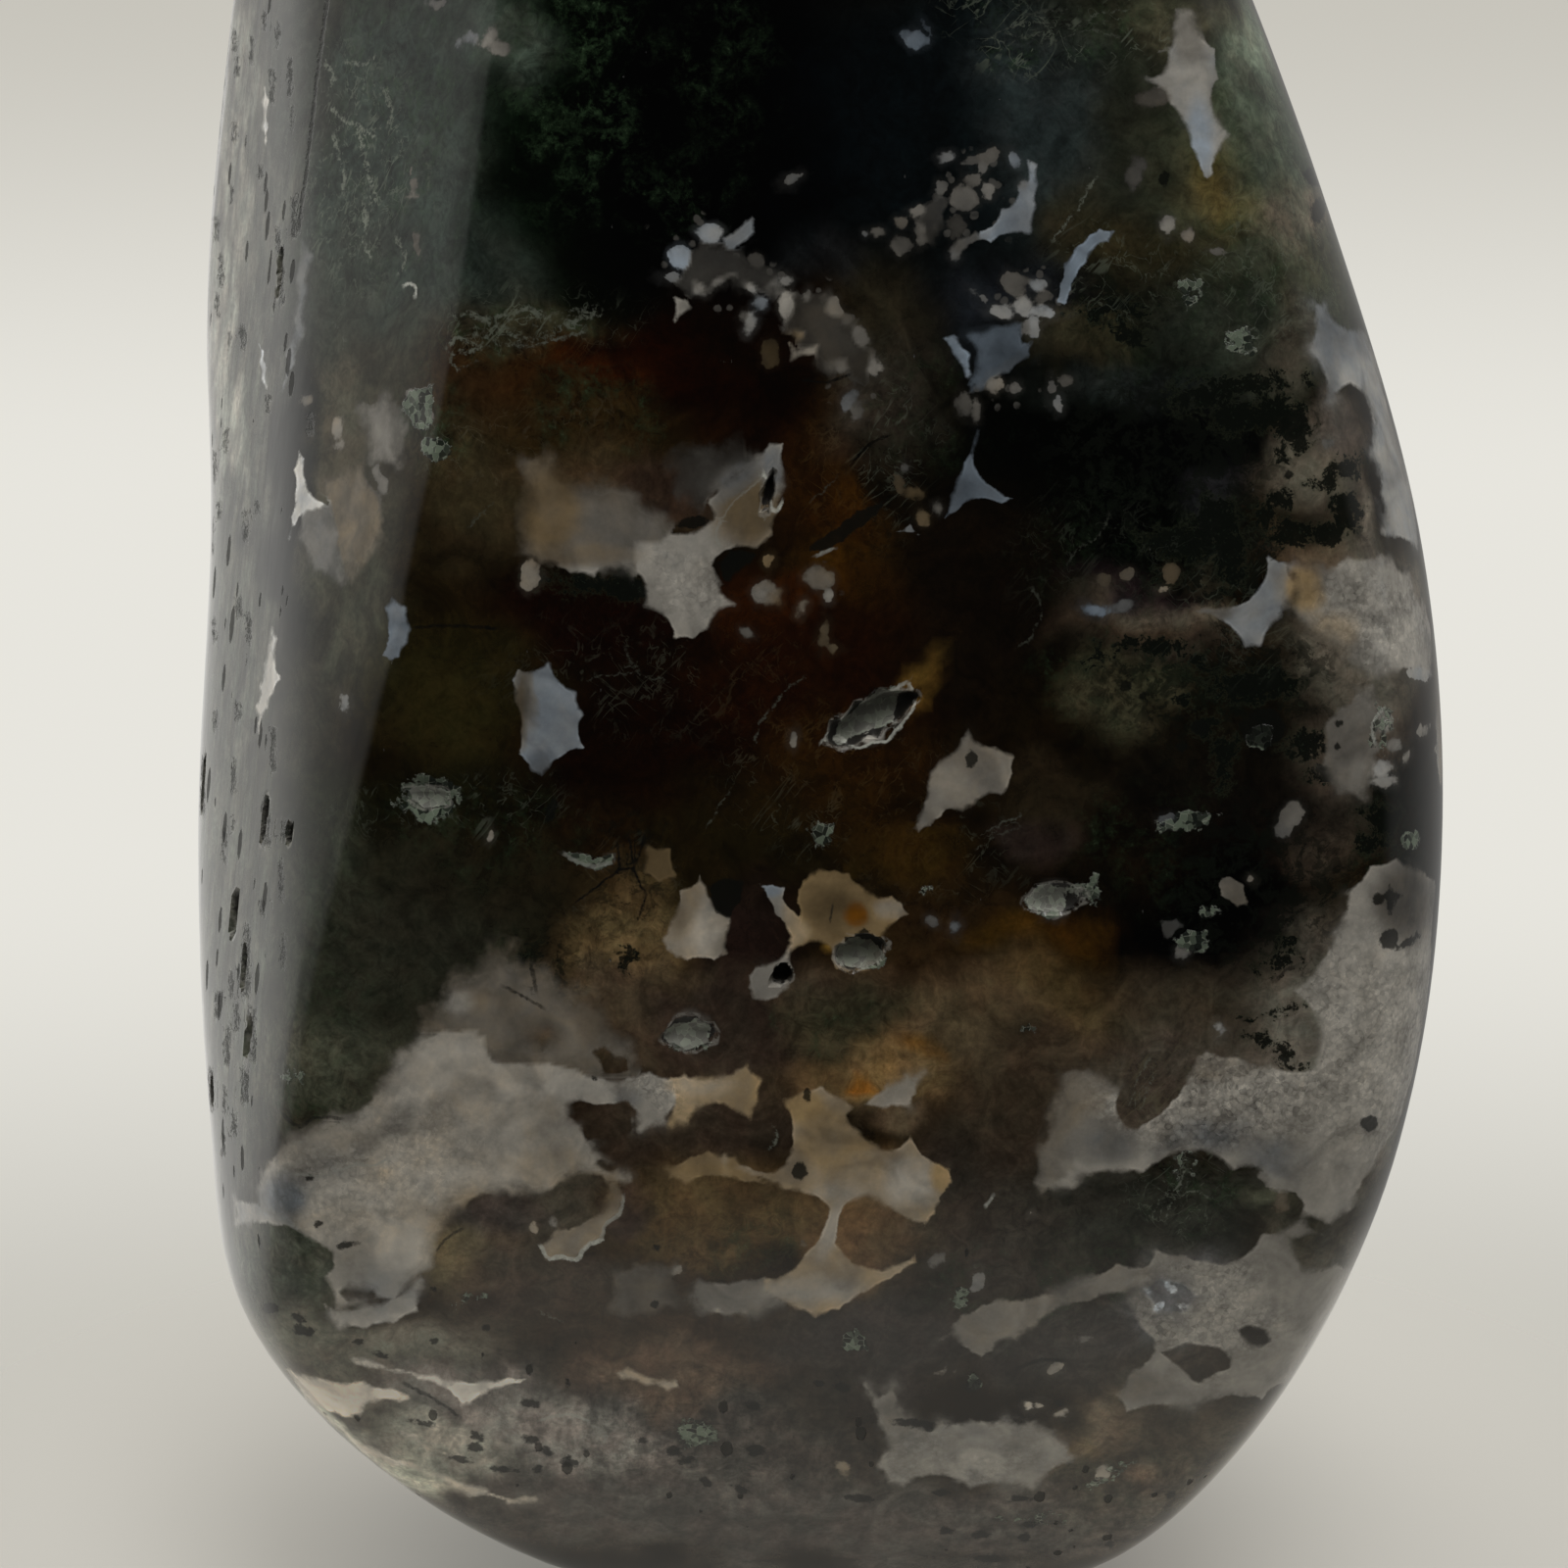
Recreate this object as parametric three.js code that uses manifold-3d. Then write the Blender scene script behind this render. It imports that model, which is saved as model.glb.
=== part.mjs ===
// A tower of moss agate: one natural piece of stone, ground to a few broad faces that meet in soft
// ridges, polished all round, and sawn flat below so that it stands by itself. Small openings of
// crystal-lined hollows break its polished skin.
// Millimetres, +Z up, the broad front face towards -Y. The origin is the middle of the stone's box,
// on the plane that the sawn base stands on. Azimuths are degrees about +Z from +X, seen from above.

import * as THREE from 'three';
import { mergeVertices } from 'three/addons/utils/BufferGeometryUtils.js';
import Module from 'manifold-3d';

const radians = THREE.MathUtils.degToRad;

// The whole stone
const HEIGHT = 128;
const TIP_DOME = 5;
const LEAN = - 3.5;
const LEAN_START = 40;

// How far the shaped stone reaches to each side of its upright line, from the base to the tip
const SECTIONS = [
	{ z: 0, right: 16.2, left: 7.7, front: 8.0, back: 13.0 },
	{ z: 4, right: 20.7, left: 15.1, front: 12.4, back: 17.6 },
	{ z: 10, right: 25.2, left: 22.6, front: 16.6, back: 21.4 },
	{ z: 18, right: 29.4, left: 28.5, front: 20.0, back: 24.2 },
	{ z: 28, right: 32.6, left: 30.1, front: 22.2, back: 25.8 },
	{ z: 42, right: 34.0, left: 31.0, front: 23.1, back: 26.4 },
	{ z: 58, right: 32.6, left: 30.2, front: 22.6, back: 25.4 },
	{ z: 74, right: 28.0, left: 30.9, front: 20.8, back: 23.2 },
	{ z: 88, right: 22.9, left: 28.6, front: 18.0, back: 20.0 },
	{ z: 102, right: 16.7, left: 21.2, front: 13.9, back: 15.4 },
	{ z: 116, right: 10.6, left: 13.6, front: 9.3, back: 10.2 },
	{ z: HEIGHT, right: 5.0, left: 5.6, front: 4.6, back: 5.0 },
];

// The round section runs deeper than the front and back walls, which cut it flat
const FRONT_FULLNESS = 3.4;
const BACK_FULLNESS = 2.5;
const FRONT_SPARE = 1.25;
const BACK_SPARE = 1.12;
const FRONT_AZIMUTH = - 88;
const BACK_AZIMUTH = 84;

// Broad faces ground on after the walls: where each one looks, and a point it passes through
const GROUND_FACES = [
	{ name: 'left front', azimuth: - 137, rise: 12.3, through: [ - 12.9, - 19.3, 84 ] },
	{ name: 'left', azimuth: - 154, rise: 8, through: [ - 22.6, - 22.9, 43 ] },
	{ name: 'upper right', azimuth: - 40, rise: 17, through: [ 22.2, - 15.2, 90 ] },
	{ name: 'back left', azimuth: 138, rise: 6, through: [ - 24, 14, 60 ] },
	{ name: 'back right', azimuth: 42, rise: 9, through: [ 24, 16, 60 ] },
];

// The larger the number, the sharper the ridges where faces meet
const RIDGE_SHARPNESS = 30;
const LEAST_ROOM = 0.3;

// The largest openings in the skin: place, width, height, depth, and turn out of the upright
const OPENINGS = [
	{ name: 'long crystal hollow', azimuth: - 79, z: 51.4, wide: 4.6, tall: 1.7, deep: 1.1, turn: 32 },
	{ name: 'crystal hollow below it', azimuth: - 80.3, z: 40, wide: 2.4, tall: 1.8, deep: 1.2, turn: 10 },
	{ name: 'ringed hole', azimuth: - 89.6, z: 38.9, wide: 1.2, tall: 1.3, deep: 1.3, turn: 0 },
	{ name: 'dark druse', azimuth: - 100.3, z: 36, wide: 2.7, tall: 2, deep: 0.8, turn: 0 },
	{ name: 'arch hollow', azimuth: - 90, z: 62.2, wide: 1, tall: 2.4, deep: 0.9, turn: - 10 },
	{ name: 'leaf hollow', azimuth: - 112.9, z: 27.1, wide: 2.7, tall: 2, deep: 0.7, turn: 20 },
	{ name: 'teal druse', azimuth: - 60, z: 42.5, wide: 3.3, tall: 1.6, deep: 0.8, turn: 8 },
	{ name: 'brown hollow', azimuth: - 42.3, z: 17.8, wide: 3.3, tall: 2.3, deep: 1.3, turn: - 12 },
	{ name: 'small brown hollow', azimuth: - 39.2, z: 19.9, wide: 2.2, tall: 1.3, deep: 1, turn: - 12 },
	{ name: 'oval hollow', azimuth: - 133.2, z: 22.5, wide: 2, tall: 1.1, deep: 0.9, turn: 0 },
	{ name: 'left druse', azimuth: - 124.7, z: 47.7, wide: 2.2, tall: 1.4, deep: 0.7, turn: 0 },
	{ name: 'flank gash', azimuth: - 152.6, z: 39.9, wide: 2, tall: 4.2, deep: 1.4, turn: 4 },
	{ name: 'flank slot', azimuth: - 148.1, z: 37.6, wide: 1.3, tall: 3, deep: 1.1, turn: 6 },
	{ name: 'low flank slot', azimuth: - 145.3, z: 34.3, wide: 1.2, tall: 2.8, deep: 1.1, turn: - 6 },
	{ name: 'flank notch', azimuth: - 151, z: 33, wide: 1.4, tall: 2, deep: 1, turn: 0 },
	{ name: 'flank corner', azimuth: - 156.8, z: 29.9, wide: 2.1, tall: 2, deep: 1, turn: 4 },
	{ name: 'flank drop', azimuth: - 146.2, z: 45.1, wide: 1.3, tall: 2.5, deep: 1.1, turn: - 5 },
	{ name: 'edge hollow', azimuth: - 139.9, z: 45.1, wide: 1.5, tall: 1.5, deep: 0.9, turn: 0 },
	{ name: 'far flank slot', azimuth: - 168, z: 44.6, wide: 1.3, tall: 2.9, deep: 1, turn: 0 },
	{ name: 'high flank slot', azimuth: - 158.4, z: 71.4, wide: 1, tall: 2.4, deep: 1, turn: 5 },
	{ name: 'back gash', azimuth: 108, z: 52, wide: 2.6, tall: 4.4, deep: 1.5, turn: 25 },
	{ name: 'back druse', azimuth: 84, z: 34, wide: 3.4, tall: 2.2, deep: 1.1, turn: - 15 },
	{ name: 'back slot', azimuth: 122, z: 72, wide: 1.4, tall: 3, deep: 1.1, turn: 8 },
	{ name: 'right druse', azimuth: 18, z: 46, wide: 2.4, tall: 3.2, deep: 1.1, turn: - 20 },
];

// Fineness of the faceted skin
const SEGMENTS = 62;
const RINGS = 46;
const RING_EASE = 1.25;
const DOME_RINGS = 5;
const WELD = 1e-4;
const NEARBY_TURN = radians( 1 );
const NEARBY_RISE = 0.5;

// The curves through the sections' four reaches
const reachCurves = new THREE.CubicInterpolant(
	SECTIONS.map( ( section ) => section.z ),
	SECTIONS.flatMap( ( section ) => [ section.right, section.left, section.front, section.back ] ),
	4,
	[],
);

const groundPlanes = GROUND_FACES.map( ( face ) => {

	const outward = new THREE.Vector3( 1, 0, 0 )
		.applyAxisAngle( new THREE.Vector3( 0, 1, 0 ), - radians( face.rise ) )
		.applyAxisAngle( new THREE.Vector3( 0, 0, 1 ), radians( face.azimuth ) );
	return new THREE.Plane().setFromNormalAndCoplanarPoint( outward, new THREE.Vector3( ...face.through ) );

} );

function leanAt( z ) {

	return LEAN * THREE.MathUtils.clamp( ( z - LEAN_START ) / ( HEIGHT - LEAN_START ), 0, 1 ) ** 2;

}

// How much of the way out from the upright line a flat wall takes at this azimuth
function wallShare( azimuth, wallAzimuth, distance ) {

	return Math.max( 0, Math.cos( azimuth - radians( wallAzimuth ) ) ) / distance;

}

// The distance from the upright line to the stone's skin: a soft least of the section and its faces
function reachAt( azimuth, z ) {

	const [ right, left, front, back ] = reachCurves.evaluate( z );
	const cos = Math.cos( azimuth );
	const sin = Math.sin( azimuth );
	const sideways = cos > 0 ? right : left;
	const depth = sin < 0 ? front * FRONT_SPARE : back * BACK_SPARE;
	const fullness = sin < 0 ? FRONT_FULLNESS : BACK_FULLNESS;
	const section = Math.abs( cos / sideways ) ** fullness + Math.abs( sin / depth ) ** fullness;

	const shares = [
		section ** ( 1 / fullness ),
		wallShare( azimuth, FRONT_AZIMUTH, front ),
		wallShare( azimuth, BACK_AZIMUTH, back ),
	];

	const heading = new THREE.Vector3( cos, sin, 0 );
	const onUpright = new THREE.Vector3( leanAt( z ), 0, z );

	for ( const plane of groundPlanes ) {

		const room = Math.max( - plane.distanceToPoint( onUpright ), LEAST_ROOM );
		shares.push( Math.max( 0, plane.normal.dot( heading ) ) / room );

	}

	const soft = shares.reduce( ( sum, share ) => sum + share ** RIDGE_SHARPNESS, 0 );
	return 1 / soft ** ( 1 / RIDGE_SHARPNESS );

}

function skinPoint( azimuth, z ) {

	const reach = reachAt( azimuth, z );
	return new THREE.Vector3( leanAt( z ) + reach * Math.cos( azimuth ), reach * Math.sin( azimuth ), z );

}

// A closed three.js geometry becomes a solid once its shared vertices are one
function toSolid( wasm, geometry ) {

	const bare = new THREE.BufferGeometry();
	bare.setAttribute( 'position', geometry.getAttribute( 'position' ) );
	bare.setIndex( geometry.index );
	const welded = mergeVertices( bare, WELD );
	const corners = [];

	for ( let i = 0; i < welded.index.count; i += 3 ) {

		const a = welded.index.getX( i );
		const b = welded.index.getX( i + 1 );
		const c = welded.index.getX( i + 2 );
		const isTriangle = a !== b && b !== c && c !== a;
		if ( isTriangle ) corners.push( a, b, c );

	}

	return new wasm.Manifold( new wasm.Mesh( {
		numProp: 3,
		vertProperties: welded.getAttribute( 'position' ).array,
		triVerts: new Uint32Array( corners ),
	} ) );

}

function toGeometry( solid ) {

	const { vertProperties, triVerts } = solid.getMesh();
	const geometry = new THREE.BufferGeometry();
	geometry.setAttribute( 'position', new THREE.BufferAttribute( vertProperties, 3 ) );
	geometry.setIndex( new THREE.BufferAttribute( triVerts, 1 ) );
	return geometry;

}

// The polished body: a lathed unit drum with a domed top, each point moved out to the skin
function makeBody() {

	const drumHeight = HEIGHT - TIP_DOME;
	const profile = [ new THREE.Vector2( 0, 0 ) ];

	for ( let ring = 0; ring <= RINGS; ring ++ ) {

		profile.push( new THREE.Vector2( 1, drumHeight * ( ring / RINGS ) ** RING_EASE ) );

	}

	for ( let ring = 1; ring < DOME_RINGS; ring ++ ) {

		const rise = ring / DOME_RINGS * Math.PI / 2;
		profile.push( new THREE.Vector2( Math.cos( rise ), drumHeight + TIP_DOME * Math.sin( rise ) ) );

	}

	profile.push( new THREE.Vector2( 0, HEIGHT ) );

	const body = new THREE.LatheGeometry( profile, SEGMENTS );
	body.rotateX( Math.PI / 2 );
	const position = body.getAttribute( 'position' );

	for ( let i = 0; i < position.count; i ++ ) {

		const x = position.getX( i );
		const y = position.getY( i );
		const z = THREE.MathUtils.clamp( position.getZ( i ), 0, HEIGHT );
		const scale = reachAt( Math.atan2( y, x ), z );
		position.setXYZ( i, leanAt( z ) + x * scale, y * scale, z );

	}

	return body;

}

// The shape taken out for one opening: a faceted pebble sunk to its waist in the skin
function makeOpening( opening ) {

	const azimuth = radians( opening.azimuth );
	const centre = skinPoint( azimuth, opening.z );
	const around = skinPoint( azimuth + NEARBY_TURN, opening.z ).sub( skinPoint( azimuth - NEARBY_TURN, opening.z ) );
	const along = skinPoint( azimuth, opening.z + NEARBY_RISE ).sub( skinPoint( azimuth, opening.z - NEARBY_RISE ) );
	const outward = new THREE.Vector3().crossVectors( around, along ).normalize();
	const across = around.normalize().applyAxisAngle( outward, radians( opening.turn ) );
	const up = new THREE.Vector3().crossVectors( outward, across );

	const pebble = new THREE.IcosahedronGeometry( 1, 1 );
	pebble.scale( opening.wide / 2, opening.tall / 2, opening.deep );
	pebble.applyMatrix4( new THREE.Matrix4().makeBasis( across, up, outward ).setPosition( centre ) );
	return pebble;

}

const wasm = await Module();
wasm.setup();

let stoneSolid = toSolid( wasm, makeBody() );

for ( const opening of OPENINGS ) {

	stoneSolid = stoneSolid.subtract( toSolid( wasm, makeOpening( opening ) ) );

}

const stoneGeometry = toGeometry( stoneSolid );
stoneGeometry.computeBoundingBox();
const middle = stoneGeometry.boundingBox.getCenter( new THREE.Vector3() );
stoneGeometry.computeVertexNormals();

const stone = new THREE.Mesh( stoneGeometry, new THREE.MeshStandardMaterial( {
	name: 'polished moss agate',
	color: new THREE.Color( 0x2f322d ),
	roughness: 0.08,
	metalness: 0,
} ) );
stone.name = 'stone';
stone.position.set( - middle.x, - middle.y, 0 );

const tower = new THREE.Group();
tower.add( stone );

export default tower;
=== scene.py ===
# A freeform moss agate tower, shaped and polished, standing on a pale studio floor.
import math

import bmesh
import bpy
import numpy as np
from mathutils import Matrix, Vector, noise


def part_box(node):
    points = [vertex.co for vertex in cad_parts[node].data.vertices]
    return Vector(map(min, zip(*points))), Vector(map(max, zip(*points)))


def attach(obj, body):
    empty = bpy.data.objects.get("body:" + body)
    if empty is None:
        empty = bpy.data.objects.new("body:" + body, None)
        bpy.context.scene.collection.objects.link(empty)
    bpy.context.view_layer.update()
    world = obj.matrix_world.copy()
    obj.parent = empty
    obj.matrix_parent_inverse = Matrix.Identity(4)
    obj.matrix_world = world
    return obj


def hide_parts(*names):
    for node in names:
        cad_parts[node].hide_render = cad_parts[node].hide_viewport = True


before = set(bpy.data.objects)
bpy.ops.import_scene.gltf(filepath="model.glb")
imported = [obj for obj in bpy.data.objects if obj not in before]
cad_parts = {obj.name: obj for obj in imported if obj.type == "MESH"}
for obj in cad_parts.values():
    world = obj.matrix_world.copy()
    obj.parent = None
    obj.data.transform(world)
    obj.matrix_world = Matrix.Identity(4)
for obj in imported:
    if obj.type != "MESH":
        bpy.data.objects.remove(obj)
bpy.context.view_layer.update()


# Camera
# A phone held a little above the stone's waist and looking slightly down. It is close enough that
# the tip and the lower edge of the base fall outside the picture.
MM = 0.001
PHOTO_SIDE = 1600
LENS = 80.0
SENSOR = 36.0
FOCAL_PX = LENS / SENSOR * PHOTO_SIDE
CAMERA_PITCH = math.radians(12.0)
CAMERA_TARGET = np.array([-1.24, -23.85, 48.0])
CAMERA_DISTANCE = 165.0
CAMERA_FORWARD = np.array([0.0, math.cos(CAMERA_PITCH), -math.sin(CAMERA_PITCH)])
CAMERA_UP = np.array([0.0, math.sin(CAMERA_PITCH), math.cos(CAMERA_PITCH)])
CAMERA_PLACE = CAMERA_TARGET - CAMERA_DISTANCE * CAMERA_FORWARD


def picture_place(points):
    """Where points of the stone, in mm, fall in the photograph's frame of 1600 by 1600 px."""
    away = points - CAMERA_PLACE
    depth = away @ CAMERA_FORWARD
    across = PHOTO_SIDE / 2 + FOCAL_PX * away[:, 0] / depth
    down = PHOTO_SIDE / 2 - FOCAL_PX * (away @ CAMERA_UP) / depth
    return np.stack([across, down], 1)


camera_data = bpy.data.cameras.new("camera")
camera_data.lens = LENS
camera_data.sensor_width = SENSOR
camera_data.clip_start = 10 * MM
camera = bpy.data.objects.new("camera", camera_data)
camera.location = Vector(CAMERA_PLACE * MM)
camera.rotation_euler = (math.pi / 2 - CAMERA_PITCH, 0.0, 0.0)
bpy.context.scene.collection.objects.link(camera)
bpy.context.scene.camera = camera


# Studio light
# A pale room: a wide soft ceiling and a bright wall at the left, with a dark gap behind the phone,
# so that the polished front shows the stone's depths and only its left faces carry a veil.
class Wire:
    """A node's output, whose arithmetic adds Math nodes."""

    def __init__(self, tree, socket):
        self.tree = tree
        self.socket = socket

    def reckon(self, operation, *values):
        node = self.tree.nodes.new("ShaderNodeMath")
        node.operation = operation
        for place, value in enumerate(values):
            connect(self.tree, node.inputs[place], value)
        return Wire(self.tree, node.outputs[0])

    def __add__(self, other):
        return self.reckon("ADD", self, other)

    def __radd__(self, other):
        return self.reckon("ADD", other, self)

    def __sub__(self, other):
        return self.reckon("SUBTRACT", self, other)

    def __rsub__(self, other):
        return self.reckon("SUBTRACT", other, self)

    def __mul__(self, other):
        return self.reckon("MULTIPLY", self, other)

    def __rmul__(self, other):
        return self.reckon("MULTIPLY", other, self)

    def __truediv__(self, other):
        return self.reckon("DIVIDE", self, other)

    def __pow__(self, other):
        return self.reckon("POWER", self, other)

    def __abs__(self):
        return self.reckon("ABSOLUTE", self)

    def least(self, other):
        return self.reckon("MINIMUM", self, other)

    def most(self, other):
        return self.reckon("MAXIMUM", self, other)


def connect(tree, socket, value):
    """Links a wire to a socket, or sets the socket's own value."""
    if isinstance(value, Wire):
        tree.links.new(value.socket, socket)
    else:
        socket.default_value = value


class Finish:
    """A node tree that is filled one node at a time."""

    def __init__(self, tree):
        self.tree = tree
        tree.nodes.clear()

    def add(self, kind, settings=None, sockets=None, output=0):
        """Adds a node: its settings first, then its sockets. Returns one of its outputs."""
        node = self.tree.nodes.new(kind)
        for name, value in (settings or {}).items():
            setattr(node, name, value)
        for name, value in (sockets or {}).items():
            connect(self.tree, node.inputs[name], value)
        return Wire(self.tree, node.outputs[output]) if node.outputs else node

    def step(self, value, low, high):
        """0 below low, 1 above high, smooth between them; low may be the greater."""
        return self.add("ShaderNodeMapRange", {"interpolation_type": "SMOOTHSTEP"},
                        {"Value": value, "From Min": low, "From Max": high})

    def mix(self, share, first, second):
        """The first colour where share is 0 and the second where it is 1."""
        return self.add("ShaderNodeMix", {"data_type": "RGBA"},
                        {0: share, 6: first, 7: second}, output=2)


def linear(red, green, blue, light=1.0):
    """A colour as a screen shows it, 0 to 255, as the linear colour that gives it in that light."""
    channels = []
    for value in (red, green, blue):
        share = value / 255
        straight = share / 12.92 if share <= 0.04045 else ((share + 0.055) / 1.055) ** 2.4
        channels.append(straight / light)
    return (*channels, 1.0)


def heading(azimuth, rise):
    """The unit vector of an azimuth and a rise above the horizon, in degrees."""
    turn = math.radians(azimuth)
    climb = math.radians(rise)
    return (math.cos(climb) * math.cos(turn), math.cos(climb) * math.sin(turn), math.sin(climb))


# Each row is the heading of a lit or dark area, the angles from it where it is full and where it
# ends, and its radiance, laid over the rows before it.
ROOM_BASE = 0.30
ROOM_AREAS = [
    ("left wall", (125, 4), 24, 50, 0.80),
    ("dim right side", (40, -5), 45, 66, 0.22),
    ("dark gap behind the phone", (-90, 8), 58, 84, 0.020),
    ("ceiling", (90, 86), 46, 66, 1.05),
]
BACKDROP_MIDDLE = (0.80, 0.785, 0.73, 1.0)
BACKDROP_TOP = (0.565, 0.546, 0.491, 1.0)
BACKDROP_RISE = (-0.125, 0.03)
BACKDROP_LOW = (0.52, 0.505, 0.455, 1.0)
BACKDROP_FALL = (-0.22, -0.40)

world = bpy.data.worlds.new("studio")
world.use_nodes = True
bpy.context.scene.world = world
room = Finish(world.node_tree)
toward = room.add("ShaderNodeTexCoord", output=0)
glow = ROOM_BASE
for name, aim, full, end, radiance in ROOM_AREAS:
    nearness = room.add("ShaderNodeVectorMath", {"operation": "DOT_PRODUCT"},
                        {0: toward, 1: heading(*aim)}, output=1)
    share = room.step(nearness, math.cos(math.radians(end)), math.cos(math.radians(full)))
    glow = share * radiance + (1 - share) * glow
height_share = room.add("ShaderNodeSeparateXYZ", None, {0: toward}, output=2)
backdrop = room.mix(room.step(height_share, *BACKDROP_RISE), BACKDROP_MIDDLE, BACKDROP_TOP)
backdrop = room.mix(room.step(height_share, *BACKDROP_FALL), backdrop, BACKDROP_LOW)
lit = room.add("ShaderNodeBackground", None, {"Color": (1.0, 0.985, 0.95, 1.0), "Strength": glow})
seen_wall = room.add("ShaderNodeBackground", None, {"Color": backdrop, "Strength": 1.0})
camera_ray = room.add("ShaderNodeLightPath", output=0)
sky = room.add("ShaderNodeMixShader", None, {0: camera_ray, 1: lit, 2: seen_wall})
room.add("ShaderNodeOutputWorld", None, {"Surface": sky})

KEY_AIM = heading(-72, 66)
KEY_STRENGTH = 0.55
KEY_SIZE = math.radians(24)
key_data = bpy.data.lights.new("soft lamp", "SUN")
key_data.energy = KEY_STRENGTH
key_data.angle = KEY_SIZE
key = bpy.data.objects.new("soft lamp", key_data)
key.rotation_euler = Vector(KEY_AIM).to_track_quat("Z", "Y").to_euler()
bpy.context.scene.collection.objects.link(key)

bpy.context.scene.view_settings.view_transform = "Standard"


# Studio floor
# A sheet of pale board under the stone. It fades into the room before its edge, so that no edge
# or horizon shows in the picture or in the polish.
FLOOR_RADIUS = 300.0
FLOOR_FADE = (0.034, 0.072)
FLOOR_COLOUR = (0.54, 0.525, 0.485, 1.0)
FLOOR_GLOW = 0.30
floor_mesh = bpy.data.meshes.new("floor")
disc = bmesh.new()
bmesh.ops.create_circle(disc, cap_ends=True, segments=96, radius=FLOOR_RADIUS * MM)
disc.to_mesh(floor_mesh)
disc.free()
floor = bpy.data.objects.new("floor", floor_mesh)
bpy.context.scene.collection.objects.link(floor)
board = bpy.data.materials.new("pale board")
board.use_nodes = True
board_finish = Finish(board.node_tree)
floor_place = board_finish.add("ShaderNodeTexCoord", output=3)
reach = board_finish.add("ShaderNodeVectorMath", {"operation": "LENGTH"}, {0: floor_place}, output=1)
board_shader = board_finish.add("ShaderNodeBsdfPrincipled", None, {
    "Base Color": FLOOR_COLOUR,
    "Roughness": 0.9,
    "Specular IOR Level": 0.0,
    "Emission Color": FLOOR_COLOUR,
    "Emission Strength": FLOOR_GLOW,
    "Alpha": board_finish.step(reach, FLOOR_FADE[1], FLOOR_FADE[0]),
})
board_finish.add("ShaderNodeOutputMaterial", None, {"Surface": board_shader})
floor_mesh.materials.append(board)


# Stone: its form
# One piece of agate, ground to a bulged tower on a flat sawn base. The form follows smooth
# profiles, ground faces at the left and upper right, and a small dome at the tip.
HEIGHT = 128.0
TIP_DOME = 5.0
LEAN = -3.5
LEAN_START = 40.0
# Height, then the reach to the right, left, front and back.
SECTIONS = np.array([
    (0, 16.2, 7.7, 8.0, 13.0),
    (4, 20.7, 15.1, 12.4, 17.6),
    (10, 25.2, 22.6, 16.6, 21.4),
    (18, 29.4, 28.5, 20.0, 24.2),
    (28, 32.6, 30.1, 22.2, 25.8),
    (42, 34.0, 31.0, 23.1, 26.4),
    (58, 32.6, 30.2, 22.6, 25.4),
    (74, 28.0, 30.9, 20.8, 23.2),
    (88, 22.9, 28.6, 18.0, 20.0),
    (102, 16.7, 21.2, 13.9, 15.4),
    (116, 10.6, 13.6, 9.3, 10.2),
    (128, 5.0, 5.6, 4.6, 5.0),
])
RIGHT, LEFT, FRONT, BACK = 1, 2, 3, 4
FRONT_FULLNESS = 3.4
BACK_FULLNESS = 2.5
FRONT_SPARE = 1.25
BACK_SPARE = 1.12
FRONT_AZIMUTH = math.radians(-88)
BACK_AZIMUTH = math.radians(84)
# Azimuth and rise of each ground face, and a point on it. The first two meet each other and the
# front in crisp ridges.
GROUND_FACES = [
    ("left front", -137, 12.3, (-12.9, -19.3, 84)),
    ("left", -154, 8, (-22.6, -22.9, 43)),
    ("upper right", -40, 17, (22.2, -15.2, 90)),
    ("back left", 138, 6, (-24, 14, 60)),
    ("back right", 42, 9, (24, 16, 60)),
]
CRISP_RIDGES = 3
RIDGE_SHARPNESS = 30
CRISP_SHARPNESS = 90
LEAST_ROOM = 0.3


def profile(side, z):
    """The reach to one side at heights z, smooth through the sections."""
    heights = SECTIONS[:, 0]
    reaches = SECTIONS[:, side]
    gaps = np.diff(heights)
    secants = np.diff(reaches) / gaps
    slopes = np.concatenate([secants[:1], (secants[1:] + secants[:-1]) / 2, secants[-1:]])
    span = np.clip(np.searchsorted(heights, z) - 1, 0, len(gaps) - 1)
    t = (z - heights[span]) / gaps[span]
    return ((1 + 2 * t) * (1 - t) ** 2 * reaches[span] + t * (1 - t) ** 2 * gaps[span] * slopes[span]
            + t * t * (3 - 2 * t) * reaches[span + 1] - t * t * (1 - t) * gaps[span] * slopes[span + 1])


def lean(z):
    return LEAN * np.clip((z - LEAN_START) / (HEIGHT - LEAN_START), 0, 1) ** 2


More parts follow.
